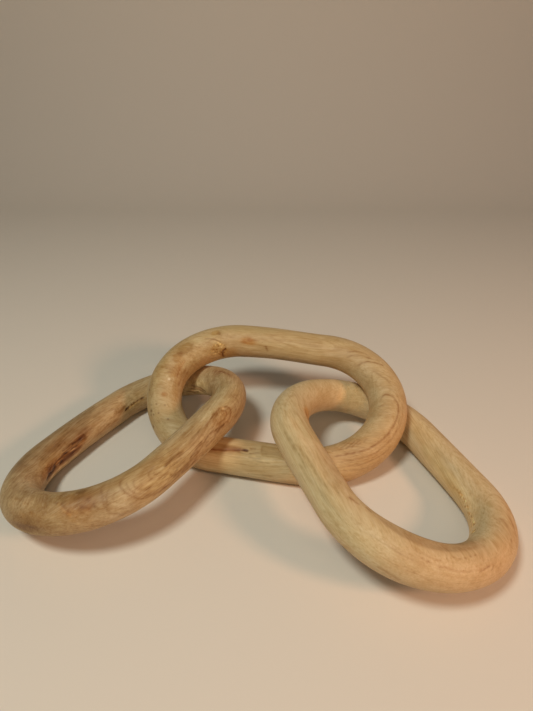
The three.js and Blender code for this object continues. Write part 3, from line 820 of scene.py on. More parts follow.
# the swirl: a teardrop of orange-brown lines round a white speck, dark on its inner side
left.blot(0.0560, 28, 17, 10, 0.55, (0.94, 0.80, 0.62), 661)
for k, (pts, half, amount) in enumerate([
        ([(0.0120, 40), (0.0220, 43), (0.0345, 46), (0.0500, 51), (0.0630, 50), (0.0740, 42), (0.0775, 27), (0.0730, 12), (0.0610, 5), (0.0430, 8), (0.0255, 13), (0.0120, 18)], 1.1, 0.75),
        ([(0.0280, 36), (0.0400, 41), (0.0520, 44), (0.0620, 43), (0.0685, 34), (0.0665, 22), (0.0560, 17), (0.0430, 19), (0.0320, 23)], 1.0, 0.65),
        ([(0.0900, 34), (0.0880, 18), (0.0800, 4), (0.0650, -6), (0.0480, -4)], 1.0, 0.40),
        ([(0.0950, 52), (0.1010, 36), (0.0980, 16), (0.0880, 0), (0.0720, -12)], 1.0, 0.30)]):
    left.stroke(pts, 1.5 * half, 0.40 * amount, (0.72, 0.54, 0.34), 671 + 3 * k, 0.6, 0.10, 0.3)
    left.stroke(pts, 0.85 * half, 0.90 * amount, (0.66, 0.47, 0.26), 672 + 3 * k, 0.5, 0.10, 0.3)
left.blot(0.0470, 46, 7.0, 3.0, 0.70, (0.66, 0.50, 0.32), 685)
left.blot(0.0400, 32, 5.0, 2.6, 0.45, (0.76, 0.60, 0.42), 686)
left.blot(0.0620, 30, 4.0, 4.0, 0.55, (0.80, 0.64, 0.44), 687)
left.tint(left.spot(0.0675, 44, 2.2, 1.8), (1.7, 1.85, 2.1))
left.tint(left.spot(0.0560, 36, 1.6, 1.4), (1.3, 1.35, 1.4))

# strong thin streaks along the near bar towards the inner end
left.vein += 0.30 * left.spot(0.985, 10, 62, 26) + 0.25 * left.spot(0.93, 0, 40, 22) + 0.35 * left.spot(0.60, 150, 70, 22)

# =============================================================================================
# Centre ring: pale straw, knots and a filled place on its far left bend
# =============================================================================================
centre = Skin("link_centre")
FILL = [(0.650, 105), (0.632, 118), (0.616, 131), (0.6155, 150), (0.614, 172), (0.6125, 190)]
NEARCRACK = [(0.905, 78), (0.925, 80), (0.943, 83), (0.960, 87), (0.9735, 93), (0.982, 96)]
centre.lay_grid(
    dense_s=[(0.625, 0.03, 0.8), (0.965, 0.03, 0.4)],
    dense_phi=[([(0.66, 140), (0.60, 150)], 45, 1.6), (NEARCRACK, 12, 2.5)],
    anchor=270)
P = centre.P
F = rings_centre(P) + 0.4 * cloud(P, (90.0, 24.0, 24.0), 211, 2, 0.35) + 0.10 * noise(P, (40.0, 7.0, 7.0), 212)
for s, f, lo, wi, a in [(0.5605, 124, 9, 6, 2.6), (0.976, 94, 7, 5, -2.4), (0.621, 83, 6, 5, 2.0), (0.7845, 101, 5, 5, 2.0), (0.527, 148, 5, 4, 1.6)]:
    F = F + a * centre.spot(s, f, lo, wi)
lines = [4.9, 9.26, 11.0, 15.2, 16.8, 20.63, 23.5, 24.6]
ring = count_rings(F, lines, 2.1)
right_bend = smooth(70, 105, P[..., 0])
boost = 0.0 * F
for c, a in ((4.9, 0.15), (9.26, 0.15), (11.0, 0.15), (15.2, 0.2), (16.8, 0.15), (20.63, 0.2)):
    boost += a * np.exp(-((F - c) / 0.7) ** 2) * right_bend
ring_centre, boost_centre, F_centre = ring, boost, F

# --- broad soft patches of another tone on the centre ring
centre.blot(0.681, 94, 12, 7, 0.95, (0.72, 0.62, 0.40), 701, ragged=0.7)
centre.blot(0.704, 101, 8, 6, 0.90, (0.76, 0.60, 0.38), 702, ragged=0.7)
centre.blot(0.722, 124, 16, 4.5, 0.60, (0.86, 0.72, 0.50), 703, ragged=0.8)
for k, (pts, half, amount) in enumerate([
        ([(0.7000, 142), (0.7150, 150), (0.7275, 154), (0.7470, 154), (0.7650, 150)], 1.5, 0.55),
        ([(0.7130, 127), (0.7275, 133), (0.7450, 137)], 1.2, 0.45),
        ([(0.7050, 162), (0.7200, 166), (0.7400, 167)], 1.6, 0.50)]):
    centre.stroke(pts, half, 1.4 * amount, (0.72, 0.54, 0.35), 331 + 2 * k, 0.9, 0.2, 0.4)
centre.blot(0.762, 143, 34, 5, 0.55, (0.86, 0.72, 0.52), 704, ragged=0.7)
centre.blot(0.690, 176, 34, 9, 0.70, (0.82, 0.68, 0.52), 705)
centre.blot(0.745, 78, 22, 9, 0.50, (0.88, 0.84, 0.66), 706, ragged=0.6)
centre.blot(0.768, 46, 24, 5, 0.60, (0.80, 0.68, 0.50), 707, ragged=0.6)
centre.blot(0.715, 66, 40, 8, 0.45, (0.86, 0.76, 0.56), 708, ragged=0.6)
centre.blot(0.185, 20, 70, 22, 0.55, (1.00, 0.86, 0.72), 709)
centre.blot(0.500, 92, 90, 14, 0.45, (0.92, 0.90, 0.76), 710)
centre.blot(0.960, 110, 26, 9, 0.45, (1.02, 0.90, 0.78), 711)
centre.blot(0.985, 42, 60, 17, 0.95, (1.16, 1.22, 1.28), 725)
centre.blot(0.935, 90, 28, 8, 0.60, (0.84, 0.84, 0.80), 728)
centre.blot(0.800, 62, 34, 14, 0.60, (0.88, 0.87, 0.80), 729)
centre.blot(0.700, 158, 16, 8, 0.60, (0.82, 0.84, 0.74), 730)
centre.blot(0.560, 76, 40, 7, 0.55, (0.86, 0.90, 0.86), 746)
centre.blot(0.480, 150, 60, 10, 0.45, (1.04, 1.14, 1.18), 747)
centre.blot(0.125, 105, 26, 12, 0.70, (0.94, 0.84, 0.76), 726)
centre.blot(0.640, 92, 26, 6, 0.50, (1.02, 1.10, 1.10), 727)
centre.blot(0.945, 60, 34, 18, 0.45, (0.92, 0.80, 0.66), 712)

# filled place: smooth pinkish filler with a ragged end, a granular orange part and cracks
fill = centre.spot(0.654, 128, 30, 13.5, 14) * (1 + 0.25 * cloud(P, (6.0, 4.0, 4.0), 303, 3))
fill = smooth(0.30, 0.42, fill)
centre.tint(0.95 * fill, (0.98, 0.98, 0.94))
centre.depth += 0.10 * fill
crust = smooth(0.35, 0.60, centre.spot(0.6215, 122, 7.5, 6, 30) * (1 + 0.6 * cloud(P, 3.0, 304, 2)))
centre.tint(0.9 * crust, (1.10, 1.14, 1.16))
grains = noise(P, 2.0, 301)
gran = smooth(0.25, 0.60, centre.spot(0.6235, 152, 13, 11, 10) * (1 + 0.35 * cloud(P, 5.0, 302, 2)))
centre.tint(0.95 * gran, (0.96, 0.89, 0.69))
centre.tint(gran * smooth(0.15, 0.6, grains), (0.68, 0.54, 0.33))
centre.tint(gran * smooth(0.30, 0.7, -grains), (1.34, 1.40, 1.36))
centre.depth -= gran * (0.35 + 0.35 * grains)
centre.blot(0.599, 172, 12, 8, 0.75, (0.84, 0.69, 0.47), 305)
centre.blot(0.640, 143, 9, 5, 0.35, (0.92, 0.82, 0.60), 306)
centre.groove([(0.6440, 95), (0.6315, 104), (0.6230, 113), (0.6160, 124), (0.6125, 132), (0.6110, 141)], 0.9, 0.7, (0.52, 0.38, 0.25), 0.9, 0.7, 311)
centre.groove([(0.6065, 146), (0.6085, 153), (0.6135, 160), (0.6165, 170), (0.6165, 180), (0.6140, 192)], 1.05, 1.0, (0.36, 0.23, 0.13), 1.0, 0.7, 321, halo=(3.6, (0.76, 0.62, 0.42)))
for s, f in [(0.6200, 124), (0.6160, 131), (0.6120, 135)]:
    centre.tint(centre.spot(s, f, 1.6, 1.2), (1.45, 1.5, 1.5))
for k, (pts, half, amount) in enumerate([
        ([(0.6945, 112), (0.6880, 108), (0.6800, 104), (0.6700, 99), (0.6600, 93)], 1.0, 0.35),
        ([(0.6980, 130), (0.6930, 143), (0.6820, 153), (0.6705, 159)], 1.2, 0.35)]):
    centre.stroke(pts, half, amount, (0.76, 0.62, 0.44), 324 + 2 * k, 1.0, 0.2, 0.4)
# knots and orange marks
centre.blot(0.5600, 123, 10.5, 5.4, 0.90, (0.88, 0.66, 0.38), 713, -12)
centre.blot(0.5570, 120, 3.6, 2.2, 0.60, (0.78, 0.56, 0.32), 714)
centre.blot(0.5680, 129, 4.4, 2.6, 0.60, (0.80, 0.60, 0.36), 715)
centre.stroke([(0.5530, 119), (0.5460, 120), (0.5390, 121)], 1.0, 0.6, (0.62, 0.46, 0.30), 716)
centre.stroke([(0.5278, 135), (0.5265, 144), (0.5250, 152), (0.5235, 160)], 1.4, 0.75, (0.66, 0.50, 0.32), 718)
centre.blot(0.6210, 86, 5.5, 4.0, 0.85, (0.76, 0.60, 0.34), 720)
centre.blot(0.6150, 92, 3.0, 2.0, 0.70, (0.66, 0.52, 0.32), 721)
centre.tint(0.55 * centre.spot(0.7845, 101, 4.5, 4.2), (0.90, 0.68, 0.46))
ringlet = centre.spot(0.7845, 101, 3.4, 3.2)
centre.tint(0.40 * np.exp(-((ringlet - 0.50) / 0.20) ** 2), (0.66, 0.46, 0.28))
centre.tint(0.50 * centre.spot(0.7845, 101, 2.2, 2.2), (0.80, 0.58, 0.38))
for k, (pts, half, amount) in enumerate([
        ([(0.7355, 82), (0.7315, 97), (0.7315, 114), (0.7330, 130)], 0.9, 0.65),
        ([(0.7425, 91), (0.7385, 105), (0.7380, 123)], 0.8, 0.50),
        ([(0.7290, 88), (0.7255, 104), (0.7265, 118)], 0.8, 0.40),
        ([(0.7550, 60), (0.7600, 57), (0.7670, 55)], 1.1, 0.50),
        ([(0.7770, 66), (0.7800, 60), (0.7860, 55)], 0.9, 0.40),
        ([(0.8000, 92), (0.8050, 84), (0.8080, 74)], 0.8, 0.35)]):
    centre.stroke(pts, half, amount, (0.62, 0.46, 0.28), 722 + 2 * k, 0.8, 0.2, 0.4)
for s, f, w, h in [(0.8035, 44, 2.2, 0.7), (0.8235, 21, 2.5, 0.7), (0.8085, 38, 1.3, 0.4), (0.7950, 50, 1.0, 0.3), (0.8150, 70, 1.0, 0.25), (0.7690, 44, 1.3, 0.3), (0.8335, 89, 1.2, 0.3), (0.7985, 71, 1.0, 0.25), (0.8115, 50, 1.2, 0.3), (0.8065, 98, 0.9, 0.2)]:
    centre.pit(s, f, w, h, (0.36, 0.23, 0.11))
centre.tint(centre.spot(0.7520, 113, 1.7, 1.4), (1.7, 2.1, 2.9))
centre.tint(centre.spot(0.7475, 104, 1.2, 1.1), (1.3, 1.5, 1.7))

# reddish crack along the near bar, running into the little knot
centre.stroke([(0.9100, 78), (0.9250, 80), (0.9370, 81), (0.9480, 83), (0.9600, 87), (0.9720, 92)], 3.2, 0.75, (0.78, 0.56, 0.40), 341, 0.3, 0.08, 0.2)
centre.groove(NEARCRACK, 1.2, 0.5, (0.58, 0.38, 0.24), 0.75, 1.0, 343)
centre.blot(0.9600, 93, 13, 3.0, 0.65, (0.66, 0.50, 0.38), 344)
centre.blot(0.9780, 93, 3.4, 1.6, 0.95, (0.46, 0.32, 0.24), 345)
centre.pit(0.9765, 93.5, 1.1, 0.6, (0.48, 0.34, 0.25))
centre.pit(0.9800, 92.5, 1.3, 0.5, (0.44, 0.30, 0.22))
centre.tint(0.7 * centre.spot(0.9740, 95, 4.0, 1.8), (0.78, 0.64, 0.46))
for k, (pts, half, amount) in enumerate([
        ([(0.9820, 101), (0.9880, 103), (0.9940, 104)], 1.3, 0.70),
        ([(0.9820, 84), (0.9890, 86), (0.9960, 89), (1.0020, 92)], 1.0, 0.65),
        ([(0.9820, 72), (0.9900, 72), (0.9980, 72), (1.0060, 74)], 0.9, 0.60),
        ([(0.9620, 84), (0.9720, 82), (0.9820, 78), (0.9920, 79)], 0.9, 0.40),
        ([(0.9890, 65), (1.0000, 64), (1.0110, 62), (1.0220, 64)], 1.0, 0.45),
        ([(0.9850, 17), (0.9950, 17), (1.0100, 19), (1.0280, 21)], 1.0, 0.45),
        ([(0.9600, 50), (0.9800, 48), (1.0000, 46)], 0.8, 0.30)]):
    centre.stroke(pts, half, amount, (0.62, 0.48, 0.31), 351 + 2 * k, 0.4, 0.2, 0.3)
centre.stroke([(1.0000, 70), (1.0120, 68), (1.0250, 69), (1.0400, 71)], 1.3, 0.5, (1.16, 1.15, 1.10), 367)
centre.stroke([(0.9560, 71), (0.9700, 74), (0.9850, 76), (0.9990, 77)], 1.6, 0.6, (1.15, 1.13, 1.06), 369)
# the planed place beyond the knot: a darker flat with a clear lower ridge and a step at its near end
ahead = around(centre.s, 0.0)
face = np.degrees(turn(centre.phi - 100 * RAD)) + 100
cut = smooth(0.0005, 0.0030, ahead + 0.00010 * (face - 100)) * smooth(80.0, 83.5, face + 80 * (ahead - 0.005)) * (1 - smooth(118, 126, face)) * (1 - smooth(0.060, 0.080, ahead))
centre.tint(0.95 * cut, (0.80, 0.74, 0.62))
centre.depth -= 0.45 * cut
centre.tint(0.5 * np.exp(-((ahead - 0.0015) / 0.0012) ** 2) * smooth(84, 90, face) * (1 - smooth(112, 120, face)), (0.72, 0.60, 0.46))

# growth-ring lines that show on the right bend
for k, (pts, half, amount) in enumerate([
        ([(0.1040, 92), (0.1170, 91), (0.1290, 87), (0.1415, 84), (0.1530, 77), (0.1650, 72), (0.1790, 68), (0.1920, 66), (0.2050, 63), (0.2190, 62), (0.2325, 61), (0.2450, 62), (0.2545, 68), (0.2615, 80), (0.2665, 95), (0.2660, 109), (0.2590, 119), (0.2510, 122)], 1.2, 0.85),
        ([(0.1300, 96), (0.1415, 92), (0.1530, 86), (0.1650, 80)], 0.9, 0.35),
        ([(0.1130, 75), (0.1270, 70), (0.1440, 63), (0.1600, 55), (0.1760, 50), (0.1920, 47), (0.2070, 45), (0.2220, 44)], 1.0, 0.55),
        ([(0.1150, 60), (0.1315, 52), (0.1480, 43), (0.1640, 37), (0.1800, 32), (0.1950, 30)], 0.9, 0.50),
        ([(0.1195, 45), (0.1365, 35), (0.1530, 23), (0.1680, 13)], 0.9, 0.40),
        ([(0.1150, 68), (0.1290, 62), (0.1460, 54), (0.1620, 46), (0.1780, 41)], 0.8, 0.30),
        ([(0.1130, 82), (0.1280, 78), (0.1440, 72), (0.1600, 64), (0.1760, 59), (0.1920, 56), (0.2080, 53)], 0.8, 0.32),
        ([(0.1100, 112), (0.1235, 108), (0.1385, 104), (0.1535, 99)], 0.9, 0.40),
        ([(0.2185, 40), (0.2330, 42), (0.2465, 46), (0.2580, 52)], 1.0, 0.40),
        ([(0.2135, 46), (0.2250, 49), (0.2395, 52), (0.2520, 58)], 0.9, 0.35),
        ([(0.2550, 58), (0.2640, 66), (0.2720, 78), (0.2760, 92)], 0.9, 0.30),
        ([(0.3490, 133), (0.3470, 124), (0.3450, 115), (0.3400, 101), (0.3325, 89), (0.3250, 77), (0.3175, 64)], 1.1, 0.75),
        ([(0.3800, 130), (0.3750, 123), (0.3685, 110), (0.3590, 99), (0.3475, 91), (0.3380, 82)], 1.0, 0.50),
        ([(0.3820, 112), (0.3760, 105), (0.3665, 90), (0.3550, 83), (0.3420, 79)], 0.9, 0.45),
        ([(0.3460, 94), (0.3360, 78), (0.3260, 66)], 0.9, 0.35),
        ([(0.3320, 145), (0.3230, 139), (0.3140, 134)], 0.9, 0.35),
        ([(0.3195, 111), (0.3075, 99), (0.2945, 88), (0.2840, 79)], 1.2, 0.45),
        ([(0.2825, 111), (0.2795, 94), (0.2735, 81)], 0.9, 0.35),
        ([(0.2420, 124), (0.2460, 107), (0.2450, 89)], 1.0, 0.40),
        ([(0.2300, 118), (0.2340, 103), (0.2330, 88)], 0.8, 0.25),
        ([(0.1345, 103), (0.1455, 109), (0.1570, 113)], 0.9, 0.55),
        ([(0.1440, 98), (0.1560, 105), (0.1670, 107)], 0.9, 0.55),
        ([(0.1525, 97), (0.1635, 99)], 0.8, 0.50),
        ([(0.1355, 127), (0.1465, 130)], 0.8, 0.45),
        ([(0.1280, 112), (0.1390, 117), (0.1480, 120)], 0.8, 0.45),
        ([(0.1660, 95), (0.1760, 97)], 0.8, 0.35)]):
    centre.stroke(pts, half, amount, (0.62, 0.46, 0.30), 731 + 2 * k, 0.5, 0.10, 0.30, 0.06)
for k, (s, f, lo, wi, amount, colour) in enumerate([
        (0.839, 98, 22, 12, 0.60, (0.87, 0.86, 0.80)), (0.705, 205, 22, 12, 0.55, (0.88, 0.90, 0.86)),
        (0.9465, 83, 20, 8, 0.55, (0.87, 0.89, 0.84)), (0.9845, 94, 22, 9, 0.55, (0.88, 0.85, 0.79))]):
    centre.blot(s, f, lo, wi, amount, colour, 681 + 3 * k)
# fine straight grain on the far bar
for k, (pts, amount) in enumerate([
        ([(0.541, 91), (0.514, 93), (0.4865, 97)], 0.35), ([(0.5475, 137), (0.520, 139), (0.492, 143)], 0.35),
        ([(0.530, 104), (0.500, 108), (0.470, 112)], 0.30), ([(0.545, 110), (0.525, 113)], 0.40),
        ([(0.500, 128), (0.470, 131), (0.440, 134)], 0.30), ([(0.480, 84), (0.450, 88), (0.425, 92)], 0.35)]):
    centre.stroke(pts, 1.0, amount, (0.70, 0.56, 0.38), 791 + 2 * k, 0.5, 0.2, 0.4)

# =============================================================================================
# Right ring: pale greenish straw, warmer at the front, pitted inside its far bar
# =============================================================================================
right = Skin("link_right")
right.lay_grid(
    dense_s=[(0.42, 0.05, 0.7), (0.32, 0.02, 0.5)],
    dense_phi=[([(0.31, 160), (0.34, 175), (0.39, 205), (0.42, 200), (0.46, 183)], 22, 2.6)],
    anchor=290)
P = right.P
F = rings_right(P) + 0.7 * cloud(P, (110.0, 26.0, 26.0), 411, 2, 0.35) + 0.10 * noise(P, (40.0, 8.0, 8.0), 412)
F = F + 2.2 * right.spot(0.3775, 121, 8, 6)
ring_right = count_rings(F, [-1.7, 1.36, 8.3, 15.6, 17.5, 22.3], 2.3)
boost_right = 0.02 + 0.05 * smooth(110, 150, P[..., 0])
F_right = F

# --- flats left by the blade, and uneven tone, on the right ring
right.flat([(0.875, 84), (0.94, 78), (1.01, 72), (1.10, 72)], 0.8)
right.flat([(0.86, 36), (0.95, 26), (1.06, 22), (1.14, 26)], 0.6)
right.flat([(1.12, 112), (1.16, 100), (1.20, 98), (1.25, 110)], 1.0)
right.flat([(0.40, 150), (0.47, 148), (0.54, 146)], 0.7)
right.blot(0.960, 52, 80, 20, 0.70, (1.16, 1.15, 1.12), 801)
right.blot(1.020, 92, 70, 10, 0.60, (0.96, 0.86, 0.82), 802)
right.blot(0.105, 22, 40, 14, 0.45, (1.06, 1.08, 1.02), 803)
right.blot(0.345, 88, 44, 12, 0.55, (0.98, 0.88, 0.80), 804)
right.blot(0.340, 127, 26, 14, 0.45, (0.90, 0.92, 0.92), 805)
# painted light: lightens the inner wall of the far bar, which lies in shade
right.blot(0.410, 190, 60, 13, 0.75, (1.22, 1.20, 1.12), 806)
right.blot(0.509, 160, 20, 8, 0.50, (0.86, 0.84, 0.68), 807)
right.blot(0.462, 172, 22, 7, 0.50, (0.86, 0.82, 0.66), 808)
right.blot(0.555, 130, 26, 10, 0.40, (1.08, 1.08, 1.00), 809)
right.blot(0.413, 127, 26, 9, 0.45, (1.06, 0.98, 0.94), 810)
right.blot(0.370, 58, 40, 6, 0.45, (0.86, 0.72, 0.56), 811)
right.blot(0.235, 60, 64, 28, 0.85, (0.95, 0.87, 0.83), 812)
# the patch at 0.7170 is painted light: it lightens the shaded part of the ring's upper end beside the centre ring
for k, (s, f, lo, wi, amount, colour) in enumerate([
        (0.424, 158, 30, 9, 0.70, (1.16, 1.15, 1.18)), (0.341, 182, 14, 9, 0.65, (1.18, 1.14, 1.08)),
        (0.515, 158, 24, 8, 0.50, (1.12, 1.09, 1.12)), (0.7170, 150, 18, 18, 0.90, (1.30, 1.22, 1.10)),
        (0.955, 100, 22, 9, 0.70, (0.84, 0.88, 0.82)), (0.908, 82, 16, 9, 0.60, (0.88, 0.92, 0.92)),
        (0.040, 88, 20, 8, 0.60, (0.90, 0.88, 0.86)), (0.3275, 68, 18, 14, 0.60, (0.90, 0.84, 0.80)),
        (0.285, 40, 30, 18, 0.50, (0.97, 0.91, 0.86))]):
    right.blot(s, f, lo, wi, amount, colour, 641 + 3 * k)
# the inner strip of the near bar's bend is browner, with a clear edge: partly the wood's own tone, partly painted shade
# beyond the edge of the side light
edge = np.interp(right.s, [0.0985, 0.1215, 0.1465, 0.1655, 0.183, 0.2005, 0.2195, 0.2415, 0.265, 0.2865], [106, 99, 85, 77, 74, 76, 82, 88, 89, 88])
around = (right.phi / RAD) % 360 + 3.0 * noise(right.P, (22.0, 10.0, 10.0), 671)
tone_and_painted_shade_strip = smooth(edge - 1, edge + 9, around) * (1 - smooth(edge + 60, edge + 100, around))
right.tint(tone_and_painted_shade_strip * smooth(0.105, 0.150, right.s) * (1 - smooth(0.250, 0.300, right.s)), (0.81, 0.74, 0.67))
right.blot(0.540, 150, 50, 16, 0.50, (1.12, 1.10, 1.10), 813)

# long dotted olive-brown streaks of the left bar
for k, (pts, half, amount) in enumerate([
        ([(0.950, 36), (0.959, 36), (0.9785, 35), (0.996, 36), (1.010, 35), (1.026, 35)], 1.5, 0.75),
        ([(0.966, 42), (0.974, 43), (0.9925, 46), (1.014, 48), (1.0355, 48), (1.054, 48), (1.074, 53), (1.089, 55)], 1.3, 0.75),
        ([(1.002, 20), (1.0195, 23), (1.0355, 23), (1.050, 24)], 1.3, 0.60),
        ([(0.936, 35), (0.9535, 33), (0.9705, 31), (0.985, 31)], 1.2, 0.60),
        ([(0.990, 51), (1.002, 51), (1.0245, 51), (1.040, 50)], 1.1, 0.55),
        ([(1.053, 66), (1.075, 69), (1.090, 69)], 1.1, 0.55),
        ([(0.871, 30), (0.888, 41), (0.904, 51), (0.928, 58)], 1.1, 0.45),
        ([(0.880, 50), (0.900, 60), (0.915, 64)], 0.9, 0.35),
        ([(0.870, 12), (0.895, 24), (0.915, 30)], 0.9, 0.35),
        ([(0.975, 62), (1.000, 64), (1.020, 65)], 0.9, 0.40),
        ([(0.990, 10), (1.015, 8), (1.040, 10)], 1.0, 0.35),
        ([(1.060, 34), (1.085, 36), (1.110, 38)], 1.0, 0.40),
        ([(1.070, 44), (1.100, 47), (1.130, 48)], 0.9, 0.35),
        ([(1.0800, 9), (1.0945, 12), (1.1090, 14)], 1.4, 0.60),
        ([(1.120, 40), (1.148, 46), (1.164, 44), (1.1775, 41), (1.189, 38)], 0.9, 0.40)]):
    right.stroke([(s - 1 if s >= 1 and pts[0][0] >= 1 else s, f) for s, f in pts], 0.8 * half, 0.70 * amount, (0.70, 0.60, 0.40), 821 + 2 * k, 0.8, 0.15, 0.35)
    right.stroke([((s - 1 if s >= 1 and pts[0][0] >= 1 else s) + 0.004, f + 4.5) for s, f in pts], 0.8 * half, 0.40 * amount, (0.72, 0.62, 0.44), 822 + 2 * k, 0.9, 0.2, 0.45)
right.stroke([(0.873, 80), (0.890, 89), (0.907, 95), (0.937, 98), (0.9745, 95), (1.011, 93), (1.0485, 90)], 1.3, 0.35, (0.78, 0.64, 0.50), 853)
right.stroke([(0.089, 88), (0.096, 90), (0.101, 91), (0.1075, 96)], 1.4, 0.70, (0.66, 0.46, 0.32), 855)
right.stroke([(0.111, 106), (0.118, 104), (0.124, 103)], 1.4, 0.60, (0.62, 0.46, 0.32), 857)
# faint arcs and specks at the front, and the curved scratch
for k, (pts, half, amount) in enumerate([
        ([(0.1855, 55), (0.1960, 49), (0.2090, 44), (0.2235, 42), (0.2380, 42), (0.2530, 45), (0.2705, 49), (0.2850, 54)], 1.0, 0.50),
        ([(0.1750, 22), (0.1875, 16), (0.2000, 9), (0.2145, 1), (0.2295, -5)], 0.9, 0.45),
        ([(0.1480, 47), (0.1640, 44), (0.1775, 41), (0.1890, 38), (0.2000, 33)], 0.9, 0.40),
        ([(0.1535, -11), (0.1685, -14), (0.1810, -24)], 1.2, 0.50),
        ([(0.1880, 63), (0.1980, 59), (0.2060, 57)], 1.0, 0.30),
        ([(0.2050, 30), (0.2250, 26), (0.2450, 25), (0.2650, 28)], 0.8, 0.25),
        ([(0.3420, 110), (0.3475, 99), (0.3500, 86), (0.3480, 70)], 1.2, 0.40),
        ([(0.3660, 81), (0.3515, 63), (0.3375, 44), (0.3210, 30)], 1.3, 0.55),
        ([(0.3545, 98), (0.3380, 77), (0.3235, 59), (0.3085, 43)], 1.2, 0.45),
        ([(0.3820, 75), (0.3730, 57), (0.3620, 42)], 1.3, 0.45)]):
    right.stroke(pts, half, amount, (0.70, 0.52, 0.34), 861 + 2 * k, 0.7, 0.15, 0.45)
rng = np.random.default_rng(5)
for s, f, long in [(0.1905, 52, 1.6), (0.1960, 49, 1.8), (0.2045, 57, 1.2), (0.2080, 58, 1.6), (0.2245, 72, 1.6), (0.2310, 69, 2.4), (0.2390, 72, 2.2), (0.2470, 76, 1.8), (0.2540, 78, 1.6), (0.2160, 66, 1.0), (0.2680, 60, 1.2)]:
    right.pit(s, f, 0.8, 0.18, (0.70, 0.55, 0.40), 0.8 * long)
right.groove([(0.2510, 37), (0.2560, 40), (0.2620, 43), (0.2680, 46)], 0.7, 0.20, (0.62, 0.46, 0.32), 0.8, 0.3, 431)
right.groove([(0.2690, 33), (0.2710, 39), (0.2730, 45)], 0.6, 0.15, (0.58, 0.42, 0.28), 0.7, 0.3, 433)
# dotted trail of pits inside the far bar, with light crumbs, and the cluster at its foot
for k in range(58):
    t = rng.random()
    s = 0.342 + 0.104 * t
    f = np.interp(s, [0.335, 0.356, 0.378, 0.398, 0.433, 0.446], [167, 172, 177, 180, 177, 174]) + 8 * (rng.random() - 0.5) * 2
    right.pit(s, f, 0.7 + 0.6 * rng.random(), 0.15 + 0.25 * rng.random(), (0.78, 0.66, 0.48))
for k in range(26):
    t = rng.random()
    s = 0.344 + 0.098 * t
    f = np.interp(s, [0.335, 0.356, 0.378, 0.398, 0.433, 0.446], [165, 170, 175, 178, 175, 172]) + 6 * (rng.random() - 0.5) * 2
    right.tint(0.8 * right.spot(s, f, 1.0 + 0.8 * rng.random(), 0.9), (1.36, 1.35, 1.30))
for k in range(14):
    right.pit(0.3200 + 0.010 * (rng.random() - 0.5), 161 + 14 * (rng.random() - 0.5), 0.8 + 0.4 * rng.random(), 0.25, (0.72, 0.60, 0.42))
for k in range(8):
    right.tint(right.spot(0.3200 + 0.010 * (rng.random() - 0.5), 161 + 12 * (rng.random() - 0.5), 1.3, 1.1), (1.42, 1.38, 1.26))
right.blot(0.3775, 117, 5.5, 3.6, 0.50, (0.78, 0.74, 0.60), 881)
right.blot(0.893, 143, 11, 8, 0.85, (0.96, 0.74, 0.48), 882)
right.stroke([(0.886, 128), (0.8915, 130), (0.903, 137), (0.9145, 143)], 1.6, 0.7, (0.62, 0.40, 0.20), 883)

# ---- the three meshes ------------------------------------------------------------------------
wood_left = wood("wood_left", 0.60, 1.00, 0.85, 0.85, 1)
wood_centre = wood("wood_centre", 0.45, 0.75, 0.50, 0.50, 2)
wood_right = wood("wood_right", 0.40, 0.75, 0.50, 0.42, 3)
make_link(left, F_left, tangent_left, ring_left, boost_left, (0.56, 0.41, 0.225), 0.50, 0.45 - 0.27 * smooth(0.83, 0.86, left.s) * (1 - smooth(0.90, 0.94, left.s)), 0.45, wood_left)
make_link(centre, F_centre, centre.P[..., 1], ring_centre, boost_centre, (0.63, 0.475, 0.26), 0.40, 0.12 + 0.20 * smooth(0.56, 0.62, centre.s) * (1 - smooth(0.75, 0.79, centre.s)), 0.60, wood_centre)
make_link(right, F_right, right.P[..., 1], ring_right, boost_right, (0.70, 0.55, 0.32), 0.30, 0.10, 0.45, wood_right)

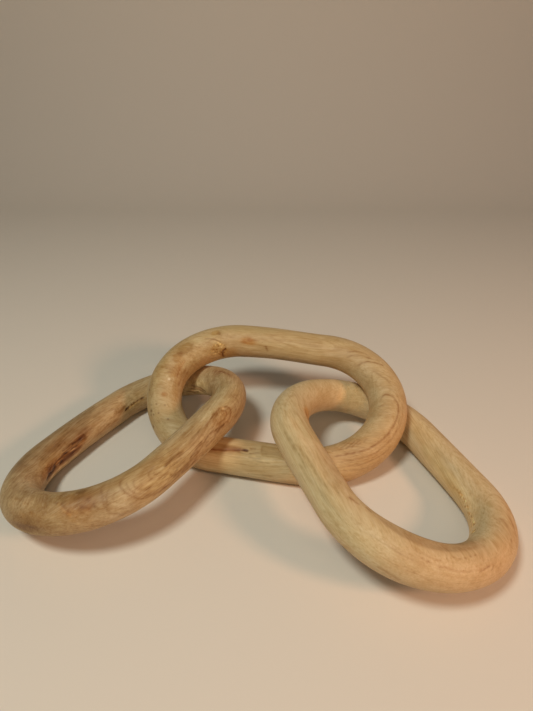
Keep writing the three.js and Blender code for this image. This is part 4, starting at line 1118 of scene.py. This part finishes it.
# =============================================================================================
# Plain pale floor that sweeps up into a backdrop
# =============================================================================================
def backdrop():
    profile = [(-2.2, 0.0), (1.2, 0.0)]
    bend = 0.6
    for k in range(1, 17):
        a = k / 16 * math.pi / 2
        profile.append((1.2 + bend * math.sin(a), bend * (1 - math.cos(a))))
    profile.append((1.8, 2.2))
    verts, faces = [], []
    for (y, z) in profile:
        verts += [(-3.0, y, z), (3.0, y, z)]
    for k in range(len(profile) - 1):
        faces.append((2 * k, 2 * k + 1, 2 * k + 3, 2 * k + 2))
    mesh = bpy.data.meshes.new("floor")
    mesh.from_pydata(verts, [], faces)
    mesh.polygons.foreach_set("use_smooth", np.ones(len(mesh.polygons), dtype=bool))
    material = bpy.data.materials.new("floor_pale")
    material.use_nodes = True
    bsdf = material.node_tree.nodes["Principled BSDF"]
    bsdf.inputs["Base Color"].default_value = (0.77, 0.72, 0.65, 1.0)
    bsdf.inputs["Roughness"].default_value = 0.9
    bsdf.inputs["Specular IOR Level"].default_value = 0.2
    mesh.materials.append(material)
    obj = bpy.data.objects.new("floor", mesh)
    bpy.context.scene.collection.objects.link(obj)


backdrop()


def area_light(name, place, target, size, power, colour):
    light = bpy.data.lights.new(name, "AREA")
    light.shape = "DISK"
    light.size = size
    light.energy = power
    light.color = colour
    obj = bpy.data.objects.new(name, light)
    obj.location = place
    obj.rotation_euler = (Vector(target) - Vector(place)).to_track_quat("-Z", "Y").to_euler()
    bpy.context.scene.collection.objects.link(obj)


def from_direction(azimuth, elevation, distance):
    a, e = azimuth * RAD, elevation * RAD
    return (distance * math.cos(e) * math.cos(a), distance * math.cos(e) * math.sin(a), distance * math.sin(e))


area_light("key_light", from_direction(-127, 62, 2.0), (0.0, 0.0, 0.03), 0.44, 17.5, (0.97, 1.0, 0.89))
area_light("side_light", from_direction(-36, 31, 1.9), (0.0, 0.0, 0.03), 0.32, 13.0, (1.0, 0.54, 0.32))
area_light("front_light", from_direction(-72, 48, 1.9), (0.0, 0.0, 0.03), 0.90, 3.0, (1.0, 0.78, 0.56))

world = bpy.data.worlds.new("studio")
world.use_nodes = True
world.node_tree.nodes["Background"].inputs[0].default_value = (1.0, 0.92, 0.80, 1.0)
world.node_tree.nodes["Background"].inputs[1].default_value = 0.08
bpy.context.scene.world = world

# ---- camera at the photograph's angle --------------------------------------------------------
data = bpy.data.cameras.new("camera")
data.sensor_width = 36.0
data.lens = 36.0 * 537.219 / 711.0
data.clip_start = 0.02
data.clip_end = 20.0
camera = bpy.data.objects.new("camera", data)
camera.location = (0.018857, -0.505453, 0.4792)
camera.rotation_euler = ((90.0 - 30.765) * RAD, 0.0, 0.0)
bpy.context.scene.collection.objects.link(camera)
bpy.context.scene.camera = camera
bpy.context.scene.view_settings.view_transform = "Standard"
